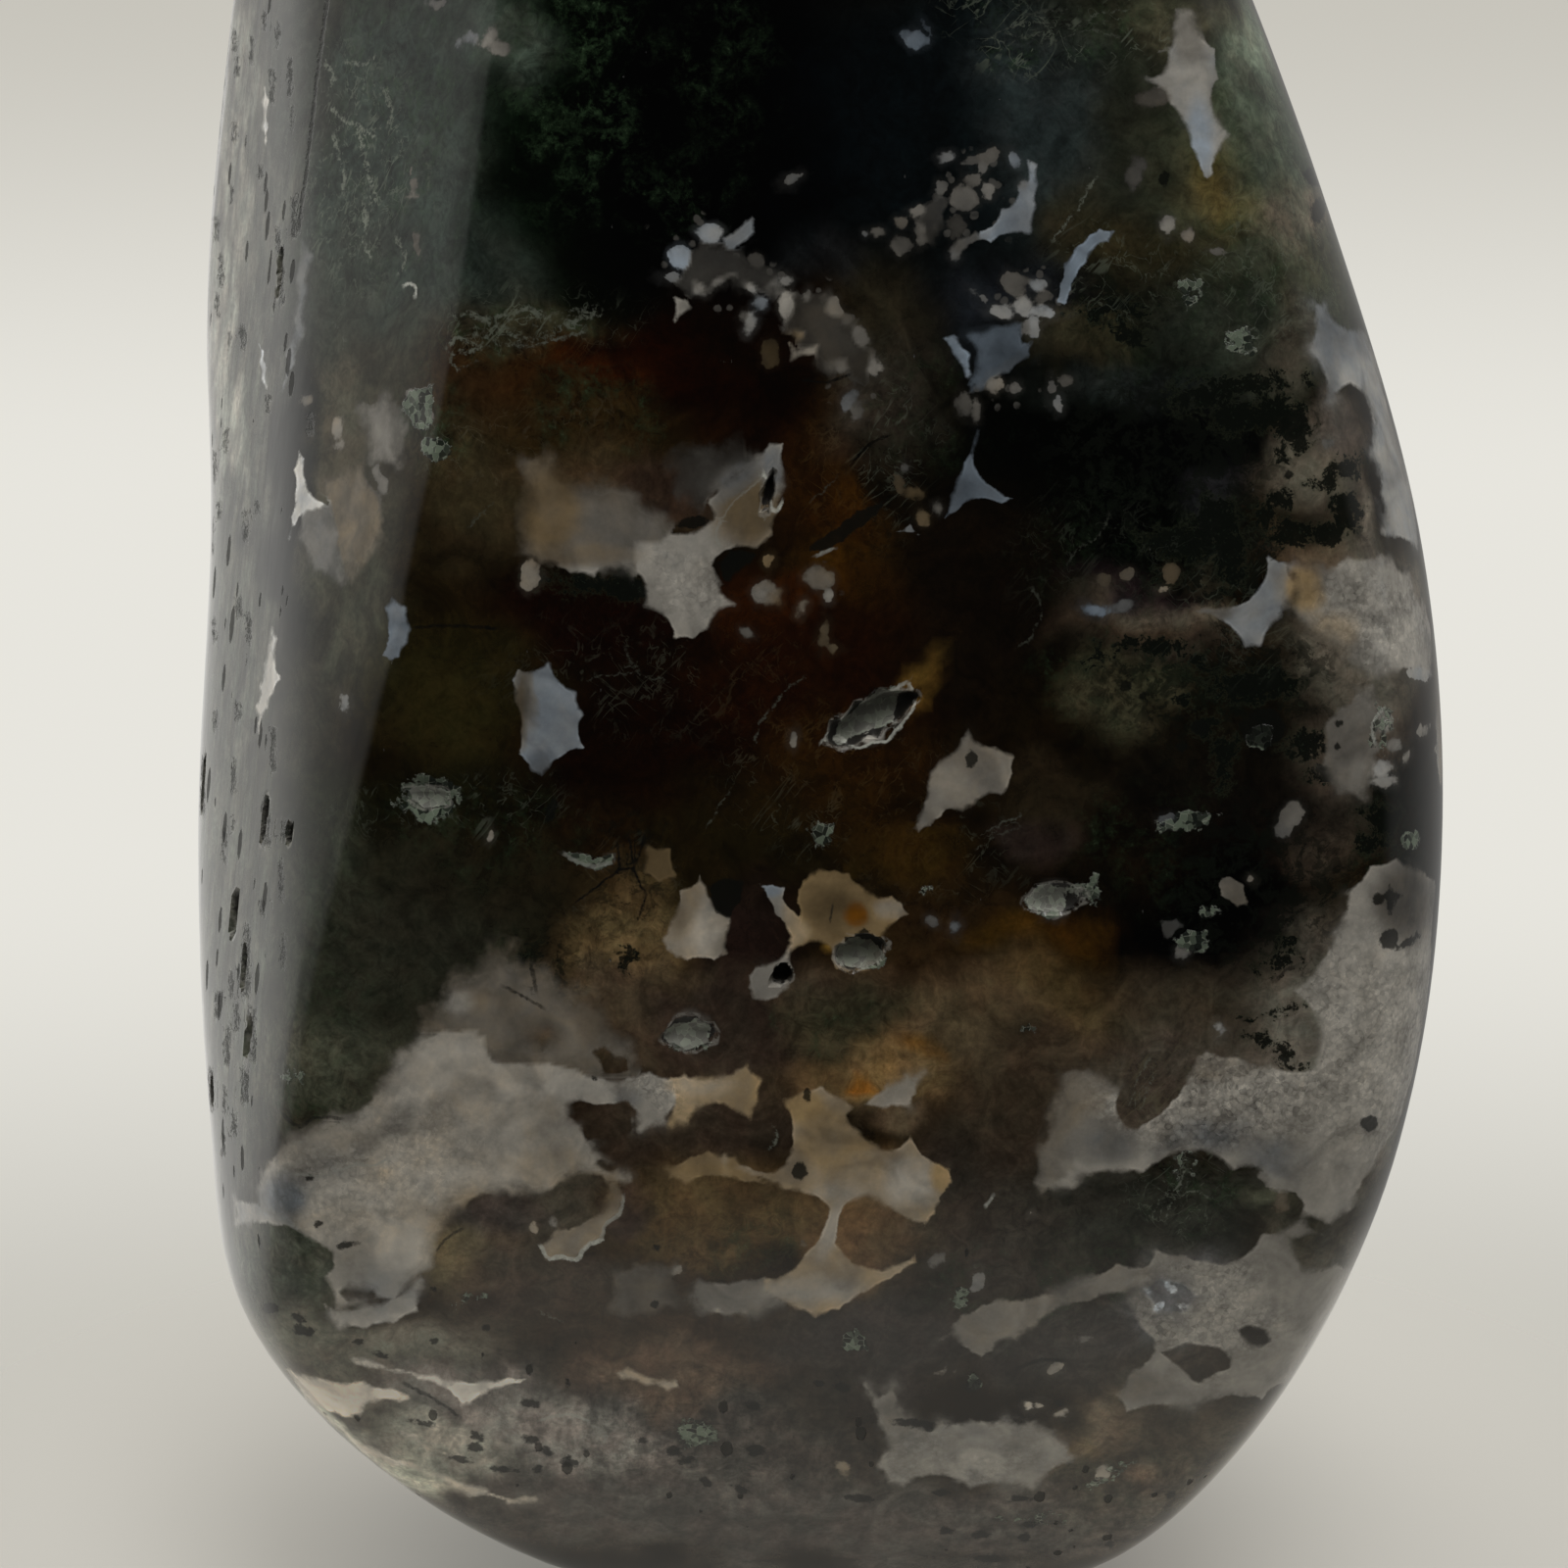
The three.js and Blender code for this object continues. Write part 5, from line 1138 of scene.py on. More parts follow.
def arched(outline):
    """The outline with each side drawn as a shallow arc that sinks into the patch."""
    points = np.array(outline, float)
    ends = np.roll(points, -1, 0)
    area = (points[:, 0] * ends[:, 1] - ends[:, 0] * points[:, 1]).sum()
    made = []
    for start, end in zip(points, ends):
        side = end - start
        inward = np.array([-side[1], side[0]]) * np.sign(area)
        for part in (0.0, 1 / 3, 2 / 3):
            made.append(start + side * part + inward * SINK * 4 * part * (1 - part))
    return made


CURVE_PARTS = 3


def curved(points):
    """The points of a stroke joined by a smooth curve through all of them."""
    knots = np.array([points[0], *points, points[-1]], float)
    made = []
    for before, start, end, after in zip(knots[:-3], knots[1:-2], knots[2:-1], knots[3:]):
        for part in range(CURVE_PARTS):
            t = part / CURVE_PARTS
            made.append(start + (end - before) * t / 2
                        + (before * 2 - start * 5 + end * 4 - after) * t ** 2 / 2
                        + (start * 3 - before - end * 3 + after) * t ** 3 / 2)
    return np.array([*made, knots[-1]])


TUFT_EASE = 3.0
LINE_KEEP = 2.0
LINE_FADE = 5.0
LINE_END = 3.0
LINE_RAGGED = 0.35
PATCH_BLEND = 2.0
BEAD_BLEND = 3.0
BEAD_SOFTNESS = 1.0
CUT_BLEND = 1.5


class Paint:
    """The growths' distances, tones and softness at every point of the skin."""

    def __init__(self, count):
        self.gap = np.full(count, -FAR_PX)
        self.soft = np.full(count, 2.0)
        self.light = np.full(count, 80.0)
        self.warm = np.full(count, 0.5)
        self.bead_share = np.zeros(count)
        self.ink = np.full(count, -FAR_PX)
        self.line_distance = np.full(count, FAR_PX)
        self.line_gap = np.full(count, FAR_PX)
        self.line_width = np.full(count, 2.0)
        self.line_tone = np.full(count, 80.0)
        self.line_share = np.zeros(count)
        self.line_ragged = np.zeros(count)
        self.clump = np.full(count, -FAR_PX)
        self.nearest = np.full(count, FAR_PX)

    def near(self, places, outline):
        corners = np.array(outline, float)
        low = corners.min(0) - FAR_PX
        high = corners.max(0) + FAR_PX
        return np.flatnonzero((places > low).all(1) & (places < high).all(1))

    def lay(self, places, soft, light, warm, outline):
        close = self.near(places, outline)
        gap = outline_gap(places[close], arched(outline))
        self.merge(close, gap, soft, light, warm, PATCH_BLEND)

    def bead(self, places, row):
        across, down, wide, tall, turn, light, warm = row
        span = max(wide, tall)
        box = [(across - span, down - span), (across + span, down + span)]
        close = self.near(places, box)
        gap = (1 - arc_share(places[close], row)) * min(wide, tall)
        self.merge(close, gap, BEAD_SOFTNESS, light, warm, BEAD_BLEND, 1.0)

    def merge(self, close, gap, soft, light, warm, blend, bead_share=0.0):
        """Joins a mark to the pale growths with a fillet of the blend's width."""
        self.nearest[close] = np.minimum(self.nearest[close], np.abs(gap))
        old = self.gap[close]
        share = np.clip(0.5 + 0.5 * (gap - old) / blend, 0, 1)
        self.gap[close] = old + (gap - old) * share + blend / 2 * share * (1 - share)
        self.soft[close] += (soft - self.soft[close]) * share
        self.light[close] += (light - self.light[close]) * share
        self.warm[close] += (warm - self.warm[close]) * share
        self.bead_share[close] += (bead_share - self.bead_share[close]) * share

    def cut(self, places, soft, outline):
        """Takes a dark lobe out of the pale growths."""
        close = self.near(places, outline)
        gap = -outline_gap(places[close], outline)
        self.nearest[close] = np.minimum(self.nearest[close], np.abs(gap))
        old = self.gap[close]
        share = np.clip(0.5 + 0.5 * (old - gap) / CUT_BLEND, 0, 1)
        self.gap[close] = old + (gap - old) * share - CUT_BLEND / 2 * share * (1 - share)
        self.soft[close] += (soft - self.soft[close]) * share

    def grade(self, places, row):
        """Changes the tone of one stretch of the pale growths."""
        share = np.clip(1.5 - arc_share(places, row), 0, 1)
        share = share * share * (3 - 2 * share)
        self.light += (row[5] - self.light) * share
        self.warm += (row[6] - self.warm) * share
        self.soft += (row[7] - self.soft) * share

    def darken(self, close, gap):
        self.nearest[close] = np.minimum(self.nearest[close], np.abs(gap))
        self.ink[close] = np.maximum(self.ink[close], gap)

    def spot(self, places, row):
        span = max(row[2], row[3])
        close = self.near(places, [(row[0] - span, row[1] - span), (row[0] + span, row[1] + span)])
        self.darken(close, (1 - arc_share(places[close], row)) * min(row[2], row[3]))

    def shard(self, places, outline):
        close = self.near(places, outline)
        self.darken(close, outline_gap(places[close], outline))

    def tuft(self, places, row):
        span = max(row[2], row[3])
        close = self.near(places, [(row[0] - span, row[1] - span), (row[0] + span, row[1] + span)])
        gap = (1 - arc_share(places[close], row)) * min(row[2], row[3])
        self.nearest[close] = np.minimum(self.nearest[close], np.abs(gap) + TUFT_EASE)
        self.clump[close] = np.maximum(self.clump[close], gap)

    def stroke(self, places, width, tone, strength, points, ragged=LINE_RAGGED):
        """Draws a thin line by its signed distance, which stays sharp between the mesh's points."""
        corners = curved(points)
        for start, end in zip(corners[:-1], corners[1:]):
            length = np.hypot(*(end - start))
            side = (end - start) / length
            close = self.near(places, [start, end])
            away = places[close] - start
            along = away @ side
            across = away[:, 0] * side[1] - away[:, 1] * side[0]
            beyond = np.maximum(np.maximum(-along, along - length), 0)
            distance = np.hypot(across, beyond)
            self.nearest[close] = np.minimum(self.nearest[close], distance)
            over = distance < self.line_distance[close]
            chosen = close[over]
            self.line_distance[chosen] = distance[over]
            self.line_gap[chosen] = across[over]
            self.line_width[chosen] = width
            self.line_tone[chosen] = tone
            fade = np.clip(1 - (distance[over] - width / 2 - LINE_KEEP) / LINE_FADE, 0, 1)
            self.line_share[chosen] = strength * fade * np.clip(1 - beyond[over] / LINE_END, 0, 1)
            self.line_ragged[chosen] = ragged


def paint_front(places):
    """Lays every traced mark on places, which are px of the photograph."""
    paint = Paint(len(places))
    for name, soft, light, warm, outline in PALE_PATCHES:
        paint.lay(places, soft, light, warm, outline)
    for name, soft, outline in DARK_LOBES:
        paint.cut(places, soft, outline)
    for row in PALE_BEADS:
        paint.bead(places, row)
    for row in PALE_SHADES:
        paint.grade(places, row)
    for row in DARK_SPOTS:
        paint.spot(places, row)
    for name, outline in DARK_SHARDS:
        paint.shard(places, outline)
    for row in CLUMPS:
        paint.tuft(places, row)
    for width, tone, strength, points in LINES:
        paint.stroke(places, width, tone, strength, points)
    for width, tone, strength, points in FIBRES:
        paint.stroke(places, width, tone, strength, points, ragged=1.0)
    for across, down, wide, tall in PORES:
        ends = [(across, down - tall / 2), (across, down + tall / 2)]
        paint.stroke(places, wide, PORE_TONE, PORE_STRENGTH, ends, ragged=PORE_RAGGED)
    return paint


def view_share(places, normals):
    """1 where the photograph shows the skin, falling to 0 at its turn and past the frame's edge."""
    toward_camera = CAMERA_PLACE - places
    toward_camera /= np.linalg.norm(toward_camera, axis=1, keepdims=True)
    facing = (toward_camera * normals).sum(1)
    spot = picture_place(places)
    inside = np.clip((spot[:, 1] + 70) / 70, 0, 1) * np.clip((PHOTO_SIDE + 60 - spot[:, 1]) / 60, 0, 1)
    return np.clip((facing - 0.03) / 0.12, 0, 1) * inside, spot, facing


def settled_marks(shape):
    """Settles a shape's points on the form and gives their view share and place in the photograph."""
    shape.normal_update()
    places = settle(read_places(shape))
    write_places(shape, places)
    normals = np.array([vertex.normal[:] for vertex in shape.verts])
    return view_share(places + TO_SOLID, normals)


def refine(shape, chosen):
    """Halves the edges whose two ends are both chosen."""
    shape.verts.ensure_lookup_table()
    edges = [edge for edge in shape.edges if chosen[edge.verts[0].index] and chosen[edge.verts[1].index]]
    bmesh.ops.subdivide_edges(shape, edges=edges, cuts=1, use_grid_fill=True)
    shape.verts.index_update()


stone_shape.verts.index_update()
shares, spots, facing = settled_marks(stone_shape)
refine(stone_shape, shares > 0)
shares, spots, facing = settled_marks(stone_shape)
nearest = paint_front(spots).nearest
refine(stone_shape, (shares > 0.1) & (nearest < 20))
shares, spots, facing = settled_marks(stone_shape)
nearest = paint_front(spots).nearest
refine(stone_shape, (shares > 0.2) & (nearest < 6))
shares, spots, facing = settled_marks(stone_shape)
bmesh.ops.triangulate(stone_shape, faces=stone_shape.faces)
print("triangles", len(stone_shape.faces))

stone_mesh = bpy.data.meshes.new("stone")
stone_shape.normal_update()
skin = read_places(stone_shape)
skin_normals = np.array([vertex.normal[:] for vertex in stone_shape.verts])

# Azimuth, height, width, height, depth and turn of each opening in the skin.
OPENINGS = [
    ("long crystal hollow", -79, 51.4, 4.6, 1.7, 1.1, 32),
    ("crystal hollow below it", -80.3, 40, 2.4, 1.8, 1.0, 10),
    ("ringed hole", -89.6, 38.9, 0.9, 1.0, 1.2, 0),
    ("dark druse", -100.3, 36, 2.4, 1.8, 0.6, 0),
    ("arch hollow", -90.5, 62.0, 0.5, 1.9, 0.7, -12),
    ("teal druse", -60, 42.5, 3.0, 1.4, 0.5, 8),
    ("left druse", -124.7, 47.7, 2.0, 1.2, 0.5, 0),
    ("flank gash", -152.6, 39.9, 1.0, 2.6, 0.9, 4),
    ("flank slot", -148.1, 37.6, 0.7, 2.4, 0.8, 6),
    ("low flank slot", -145.3, 34.3, 0.7, 2.2, 0.8, -6),
    ("flank corner", -156.8, 29.9, 1.0, 1.6, 0.8, 4),
    ("flank drop", -146.2, 45.1, 0.7, 2.2, 0.8, -5),
    ("edge hollow", -139.9, 45.1, 0.7, 1.2, 0.6, 0),
    ("far flank slot", -168, 44.6, 0.9, 2.6, 0.9, 0),
    ("high flank slot", -158.4, 71.4, 0.6, 2.2, 0.7, 5),
    ("back gash", 108, 52, 2.0, 3.6, 1.1, 25),
    ("back druse", 84, 34, 2.8, 1.8, 0.9, -15),
    ("back slot", 122, 72, 1.1, 2.8, 0.9, 8),
    ("right druse", 18, 46, 1.8, 2.6, 0.9, -20),
]
hollow = np.zeros(len(skin))
hollow_gap = np.full(len(skin), -FAR_PX / PX_PER_MM)
for name, azimuth, height, wide, tall, deep, turn in OPENINGS:
    centre = on_form(np.array([math.radians(azimuth)]), np.array([float(height)]))[0]
    close = np.flatnonzero(((skin - centre) ** 2).sum(1) < (wide + tall) ** 2)
    outward = Vector(skin_normals[close[np.argmin(((skin[close] - centre) ** 2).sum(1))]])
    across = Vector((-math.sin(math.radians(azimuth)), math.cos(math.radians(azimuth)), 0))
    across = (across - outward * across.dot(outward)).normalized()
    upward = outward.cross(across)
    bend = math.radians(turn)
    side = np.array(across * math.cos(bend) + upward * math.sin(bend))
    rise = np.array(upward * math.cos(bend) - across * math.sin(bend))
    away = skin[close] - centre
    ragged = np.array([noise.noise(Vector(place) * 1.3) for place in skin[close]])
    reach = np.hypot(away @ side / wide, away @ rise / tall) * 2 * (1 + 0.35 * ragged)
    sunk = deep * np.sqrt(np.clip(1 - reach ** 3, 0, 1))
    hollow[close] = np.maximum(hollow[close], sunk)
    gap = (1 - reach) * min(wide, tall) / 2
    hollow_gap[close] = np.maximum(hollow_gap[close], gap)
hollowed = skin - skin_normals * hollow[:, None] + TO_SOLID
write_places(stone_shape, np.clip(hollowed, np.array(solid_low) / MM, np.array(solid_high) / MM))
bmesh.ops.scale(stone_shape, vec=(MM, MM, MM), verts=stone_shape.verts)
stone_shape.to_mesh(stone_mesh)
stone_shape.free()
stone_mesh.shade_smooth()
stone_mesh.set_sharp_from_angle(angle=math.radians(50))
stone = bpy.data.objects.new("agate_tower", stone_mesh)
bpy.context.scene.collection.objects.link(stone)


def spread(places, rows):
    """The greatest amount of soft ellipses at places."""
    amount = np.zeros(len(places))
    for row in rows:
        share = np.clip(1.6 - 1.15 * arc_share(places, row), 0, 1)
        amount = np.maximum(amount, row[5] * share * share * (3 - 2 * share))
    return amount


def swell(places, size, shift):
    """Smooth noise from -1 to 1 at places, of a size in mm."""
    return np.array([noise.noise(Vector(place) / size + Vector((shift, 0, 0))) for place in places])


warp = np.stack([swell(skin, 4.0, 11.0), swell(skin, 4.0, 47.0)], 1)
fine_warp = np.stack([swell(skin, 1.3, 21.0), swell(skin, 1.3, 67.0)], 1)
wandering = spots + 34 * warp + 12 * fine_warp
paint = paint_front(spots)

# The traced marks give way to guessed ones along a ragged band past the photograph's edges.
wobble = swell(skin, 5.0, 71.0)
shares = np.clip((facing + 0.06 * wobble - 0.02) / 0.14, 0, 1)
shares *= np.clip((spots[:, 1] + 230 + 90 * wobble) / 200, 0, 1)
shares *= np.clip((PHOTO_SIDE + 60 - spots[:, 1]) / 60, 0, 1)
shares = shares * shares * (3 - 2 * shares)

depth = np.tile(np.array(DEPTH_BASE, float), (len(skin), 1))
for row in DEPTHS:
    share = np.clip(1.5 - arc_share(wandering, row), 0, 1)
    share = row[6] * share * share * (3 - 2 * share)
    depth += (np.array(row[5], float) - depth) * share[:, None]

HIDDEN_DEPTHS = [(18, 14, 8), (12, 19, 12), (46, 43, 37), (54, 36, 17), (36, 43, 33), (96, 92, 84),
                 (7, 9, 10), (78, 66, 51), (62, 52, 38), (52, 58, 52), (84, 76, 62), (30, 20, 10)]
dice = np.random.default_rng(7)
hidden = np.tile(np.array(HIDDEN_DEPTHS[0], float), (len(skin), 1))
for number in range(260):
    middle_point = skin[dice.integers(len(skin))]
    tone = np.array(HIDDEN_DEPTHS[dice.integers(len(HIDDEN_DEPTHS))], float)
    size = dice.uniform(3, 11)
    distance = np.sqrt(((skin + 2.0 * warp[:, :1] - middle_point) ** 2).sum(1)) / size
    share = np.clip(1.5 - distance, 0, 1)
    hidden += (tone - hidden) * (share * share * (3 - 2 * share))[:, None]
depth = hidden + (depth - hidden) * shares[:, None]

def blended(traced, guessed):
    return guessed + (traced - guessed) * shares


rise_share = skin[:, 2] / HEIGHT
hidden_gap = 120 * swell(skin, 11.0, 3.0) + 50 * swell(skin, 4.5, 5.0) - 14 - 52 * rise_share
pale_gap = blended(paint.gap, np.clip(hidden_gap, -FAR_PX, FAR_PX))
pale_soft = blended(paint.soft, 2.0 + 22 * np.maximum(swell(skin, 6.0, 7.0), 0))
pale_light = blended(paint.light, 94 + 34 * swell(skin, 7.0, 9.0))
pale_warm = blended(paint.warm, 0.55 + 0.4 * swell(skin, 10.0, 15.0))
front_only = shares > 0.5


def seen_or_hidden(rows, shift, size, level, where=wandering):
    """The amount that the photograph shows, or one from smooth noise on the hidden sides."""
    guess = np.clip(0.5 + 1.4 * swell(skin, size, shift) - level, 0, 1)
    return guess + (spread(where, rows) - guess) * shares


TONE_UNIT = 100

# The front's light falls from its top toward its foot, in px of height and share of the light. The front's colours are
# painted lighter toward the foot by the inverse of this share, a painted light that evens out the fall.
LIGHT_HEIGHTS = (0, 800, 1400)
LIGHT_SHARES = (1.08, 0.94, 0.87)
painted_light_gain = blended(1 / np.interp(spots[:, 1], LIGHT_HEIGHTS, LIGHT_SHARES), 1.0)


def put(name, values):
    layer = stone_mesh.attributes.new(name, "FLOAT", "POINT")
    layer.data.foreach_set("value", np.asarray(values, np.float32))


put("pale_gap", pale_gap / PX_PER_MM)
put("pale_soft", pale_soft / PX_PER_MM)
put("pale_light", (pale_light / TONE_UNIT) ** 2.2 * painted_light_gain)
put("pale_warm", pale_warm)
put("bead", paint.bead_share * shares)
put("ink", np.where(front_only, paint.ink, -FAR_PX) / PX_PER_MM)
put("line_gap", paint.line_gap / PX_PER_MM)
put("line_half", paint.line_width / 2 / PX_PER_MM)
put("line_tone", (paint.line_tone / TONE_UNIT) ** 2.2)
put("line_share", paint.line_share * front_only)
put("line_ragged", paint.line_ragged)
put("clump", np.where(front_only, paint.clump, -FAR_PX) / PX_PER_MM)
put("hollow", hollow_gap)
put("seen", shares)
put("lit_moss", seen_or_hidden(LIT_MOSS, 31.0, 12.0, 0.3))
put("black_moss", seen_or_hidden(BLACK_MOSS, 35.0, 10.0, 0.45))
put("threads", seen_or_hidden(THREADS, 39.0, 9.0, 0.3))
put("druse", seen_or_hidden(DRUSES, 43.0, 5.0, 0.9, spots + 10 * fine_warp))
put("beaded", seen_or_hidden(BEADED, 51.0, 7.0, 0.6))
put("grainy", seen_or_hidden(GRAINY, 55.0, 14.0, 0.3))
put("pored", seen_or_hidden(PORED, 59.0, 16.0, 0.35))
depth_linear = np.clip(depth / 255, 0, 1) ** 2.2 * painted_light_gain[:, None]
colours = np.concatenate([depth_linear, np.ones((len(skin), 1))], 1)
depth_layer = stone_mesh.attributes.new("depth", "FLOAT_COLOR", "POINT")
depth_layer.data.foreach_set("color", colours.astype(np.float32).ravel())


# Stone: its finish
# Ground with ever finer grit and polished to a glassy gloss. The colour lies in the depth of the
# stone: soft clouds, moss in fine clusters and threads, then pale opaque growths near the skin.
FRONT_LIGHT = 0.33
agate = bpy.data.materials.new("polished moss agate")
agate.use_nodes = True
look = Finish(agate.node_tree)
place = look.add("ShaderNodeTexCoord", output=3)
place_mm = look.add("ShaderNodeVectorMath", {"operation": "SCALE"}, {0: place, "Scale": 1000.0})


def attribute(name, output=2):
    return look.add("ShaderNodeAttribute", {"attribute_name": name}, None, output)


def grain(size, detail=4.0, roughness=0.55, where=place_mm, shift=0.0, bend=0.0):
    """Noise from 0 to 1 whose clouds are about size mm across."""
    moved = look.add("ShaderNodeVectorMath", {"operation": "ADD"}, {0: where, 1: (shift, 0.0, shift)})
    return look.add("ShaderNodeTexNoise", None, {
        "Vector": moved, "Scale": 1.0 / size, "Detail": detail, "Roughness": roughness,
        "Distortion": bend})


def shade(*tone):
    return linear(*tone, light=FRONT_LIGHT)


def toned(colour, amount):
    """A colour made lighter or darker by an amount that varies over the stone."""
    return look.add("ShaderNodeVectorMath", {"operation": "SCALE"}, {0: colour, "Scale": amount})


seen = attribute("seen")
depth_colour = attribute("depth", 0)
clouds = grain(3.0, 6.0, 0.62, bend=1.4)
mottle = grain(0.8, 6.0, 0.68, shift=9.0, bend=1.2)
speck = grain(0.24, 4.0, 0.7, shift=5.0)
grit = grain(0.20, 3.0, 0.6, shift=29.0)
lit_moss = attribute("lit_moss")
black_moss = attribute("black_moss")
threads = attribute("threads")
mossy = (lit_moss + black_moss + threads * 0.5).least(1.0)
mottle_depth = 0.5 + mossy * 0.6
texture = ((0.66 + look.step(clouds, 0.32, 0.68) * 0.7)
           * (1.03 + (look.step(mottle, 0.3, 0.7) - 0.5) * mottle_depth) * (0.60 + speck * 0.84))
hue = look.step(grain(1.7, 4.0, 0.6, shift=41.0), 0.36, 0.64)
tint = look.mix(hue, (0.96, 1.02, 0.99, 1.0), (1.04, 0.99, 0.96, 1.0))
tinted = look.add("ShaderNodeVectorMath", {"operation": "MULTIPLY"}, {0: depth_colour, 1: tint})
pored = attribute("pored")
upright = look.add("ShaderNodeMapping", None, {"Vector": place_mm, "Scale": (1.0, 1.0, 0.22)})
streaks = grain(0.9, 5.0, 0.65, where=upright, shift=61.0)
texture = texture * (1.0 + pored * (look.step(streaks, 0.3, 0.7) * 1.1 - 0.55))
body = toned(tinted, texture / FRONT_LIGHT)

moss_field = grain(0.9, 9.0, 0.75, shift=3.0, bend=0.5)
moss_bed = look.step(grain(2.6, 5.0, 0.6, shift=71.0, bend=0.8), 0.42, 0.60)
moss_mask = lit_moss * moss_bed * look.step(moss_field * 0.75 + speck * 0.25, 0.44, 0.60)
body = look.mix(moss_mask * 0.7, body, shade(30, 44, 28))
moss_glint = lit_moss * moss_bed * look.step(speck, 0.54, 0.72) * look.step(moss_field, 0.52, 0.62)
body = look.mix(moss_glint * 0.5, body, shade(78, 94, 70))
black_cluster = look.step(moss_field, 0.56 - black_moss * 0.10, 0.60 - black_moss * 0.10)
body = look.mix(black_cluster * black_moss * 0.92, body, shade(7, 9, 6))
clump_gap = attribute("clump")
clump_edge = clump_gap + (moss_field - 0.5) * 2.6 + (speck - 0.5) * 1.3
body = look.mix(look.step(clump_edge, -0.28, 0.05) * 0.35, body, shade(34, 37, 26))
clump_colour = look.mix(look.step(speck, 0.58, 0.74), shade(5, 7, 5), shade(24, 30, 22))
body = look.mix(look.step(clump_edge, -0.02, 0.06) * 0.92, body, clump_colour)


def thread(turn, length, width, shift):
    """Hair-like fibres that lie one way, where a stretched noise crosses its middle."""
    laid = look.add("ShaderNodeMapping", {"vector_type": "TEXTURE"}, {
        "Vector": place_mm, "Rotation": (0.0, math.radians(turn), 0.0), "Scale": (1.0, 1.0, length)})
    field = grain(1.0, 4.0, 0.5, where=laid, shift=shift, bend=0.8)
    breaks = grain(1.3, 2.0, 0.5, shift=shift + 1.0)
    return look.step(abs(field - 0.5), width, width * 0.3) * look.step(breaks, 0.46, 0.6)


warm_depth = look.add("ShaderNodeSeparateColor", None, {0: depth_colour}, 0)
green_depth = look.add("ShaderNodeSeparateColor", None, {0: depth_colour}, 1)
ochre_share = look.step(warm_depth - green_depth * 1.15, 0.0, 0.006)
thread_colour = look.mix(ochre_share, shade(86, 92, 80), shade(66, 50, 26))
thread_mask = (thread(42, 4.5, 0.024, 2.0) + thread(-52, 3.5, 0.009, 6.0) + thread(0, 1.3, 0.016, 9.0)).least(1.0)
body = look.mix(thread_mask * threads * 0.5, body, thread_colour)

gap = attribute("pale_gap")
soft = attribute("pale_soft")
light = attribute("pale_light")
warm = attribute("pale_warm")
milk = grain(1.4, 3.0, 0.5, shift=23.0, bend=0.5)
curd = grain(0.42, 4.0, 0.62, shift=12.0)
drift = look.step(grain(2.2, 3.0, 0.5, shift=81.0), 0.40, 0.62)
soft = soft * (0.6 + drift * 1.3)
jitter = (curd - 0.5) * (0.18 + soft * 0.3) + (milk - 0.5) * soft * 1.4
coarse_lobes = look.add("ShaderNodeTexVoronoi", {"feature": "SMOOTH_F1"}, {
    "Vector": place_mm, "Scale": 0.24, "Smoothness": 0.15}) - 0.45
fine_lobes = look.add("ShaderNodeTexVoronoi", {"feature": "SMOOTH_F1"}, {
    "Vector": place_mm, "Scale": 0.70, "Smoothness": 0.15}) - 0.45
hidden_jitter = coarse_lobes * 4.2 + fine_lobes * 0.7 + (milk - 0.5) * 0.4
bead = attribute("bead")
knobs = grain(0.7, 3.0, 0.5, shift=101.0)
edge = gap + jitter + bead * (knobs - 0.5) * 0.7 + (1 - seen) * hidden_jitter
pale_mask = look.step(edge, soft * -1.0, soft)
warmth = warm + (milk - 0.5) * 0.3
white = look.mix(look.step(warmth, 0.0, 0.5), shade(92, 102, 112), shade(103, 100, 94))
white = look.mix(look.step(warmth, 0.5, 1.0), white, shade(118, 100, 71))
white = look.mix(look.step(warmth, 1.1, 1.5), white, shade(128, 80, 18))
grainy = attribute("grainy")
cells = look.add("ShaderNodeTexVoronoi", {"feature": "F1"}, {"Vector": place_mm, "Scale": 3.4}, 1)
cell_tone = look.add("ShaderNodeSeparateColor", None, {0: cells}, 0)
cell_reach = look.add("ShaderNodeTexVoronoi", {"feature": "F1"}, {"Vector": place_mm, "Scale": 3.4})
grain_gap = look.step(cell_reach, 0.34, 0.62)
veins = grain(3.2, 2.0, 0.5, shift=91.0, bend=1.2)
folds = grain(1.1, 5.0, 0.6, shift=33.0, bend=1.2)
rim = look.step(edge, 0.15, 0.04) * look.step(veins + (curd - 0.5) * 0.5, 0.42, 0.58)
domed = look.step(edge, 0.0, 0.20)
lace = look.step(abs(folds - 0.5), 0.030, 0.004) * look.step(curd, 0.40, 0.60)
dents = look.step(grain(0.55, 3.0, 0.6, shift=37.0), 0.40, 0.30)
inner = (1.04 + (milk - 0.5) * 0.5 + (veins - 0.5) * 1.3 + (curd - 0.5) * 0.35 + rim * 0.30
         + (grit - 0.5) * (0.2 + grainy * 0.7) + (cell_tone - 0.42 - grain_gap * 0.3) * grainy * 0.7
         + lace * (0.04 + grainy * 0.5) - dents * (0.04 + grainy * 0.16))
inner = inner * (1 - bead * (0.24 - domed * 0.34))
pale = toned(white, light * inner.most(0.3))
halo = look.step(edge, -0.9, 0.0)
halo_share = halo * halo * look.step(soft, 0.12, 0.40) * 0.5
body = look.mix(halo_share, body, toned(white, light * 0.55))
bead_halo = look.step(edge, -0.40, 0.05) * bead * 0.10
body = look.mix(bead_halo, body, toned(white, light * 0.8))
body = look.mix(pale_mask * (0.88 + look.step(veins, 0.36, 0.56) * 0.10), body, pale)

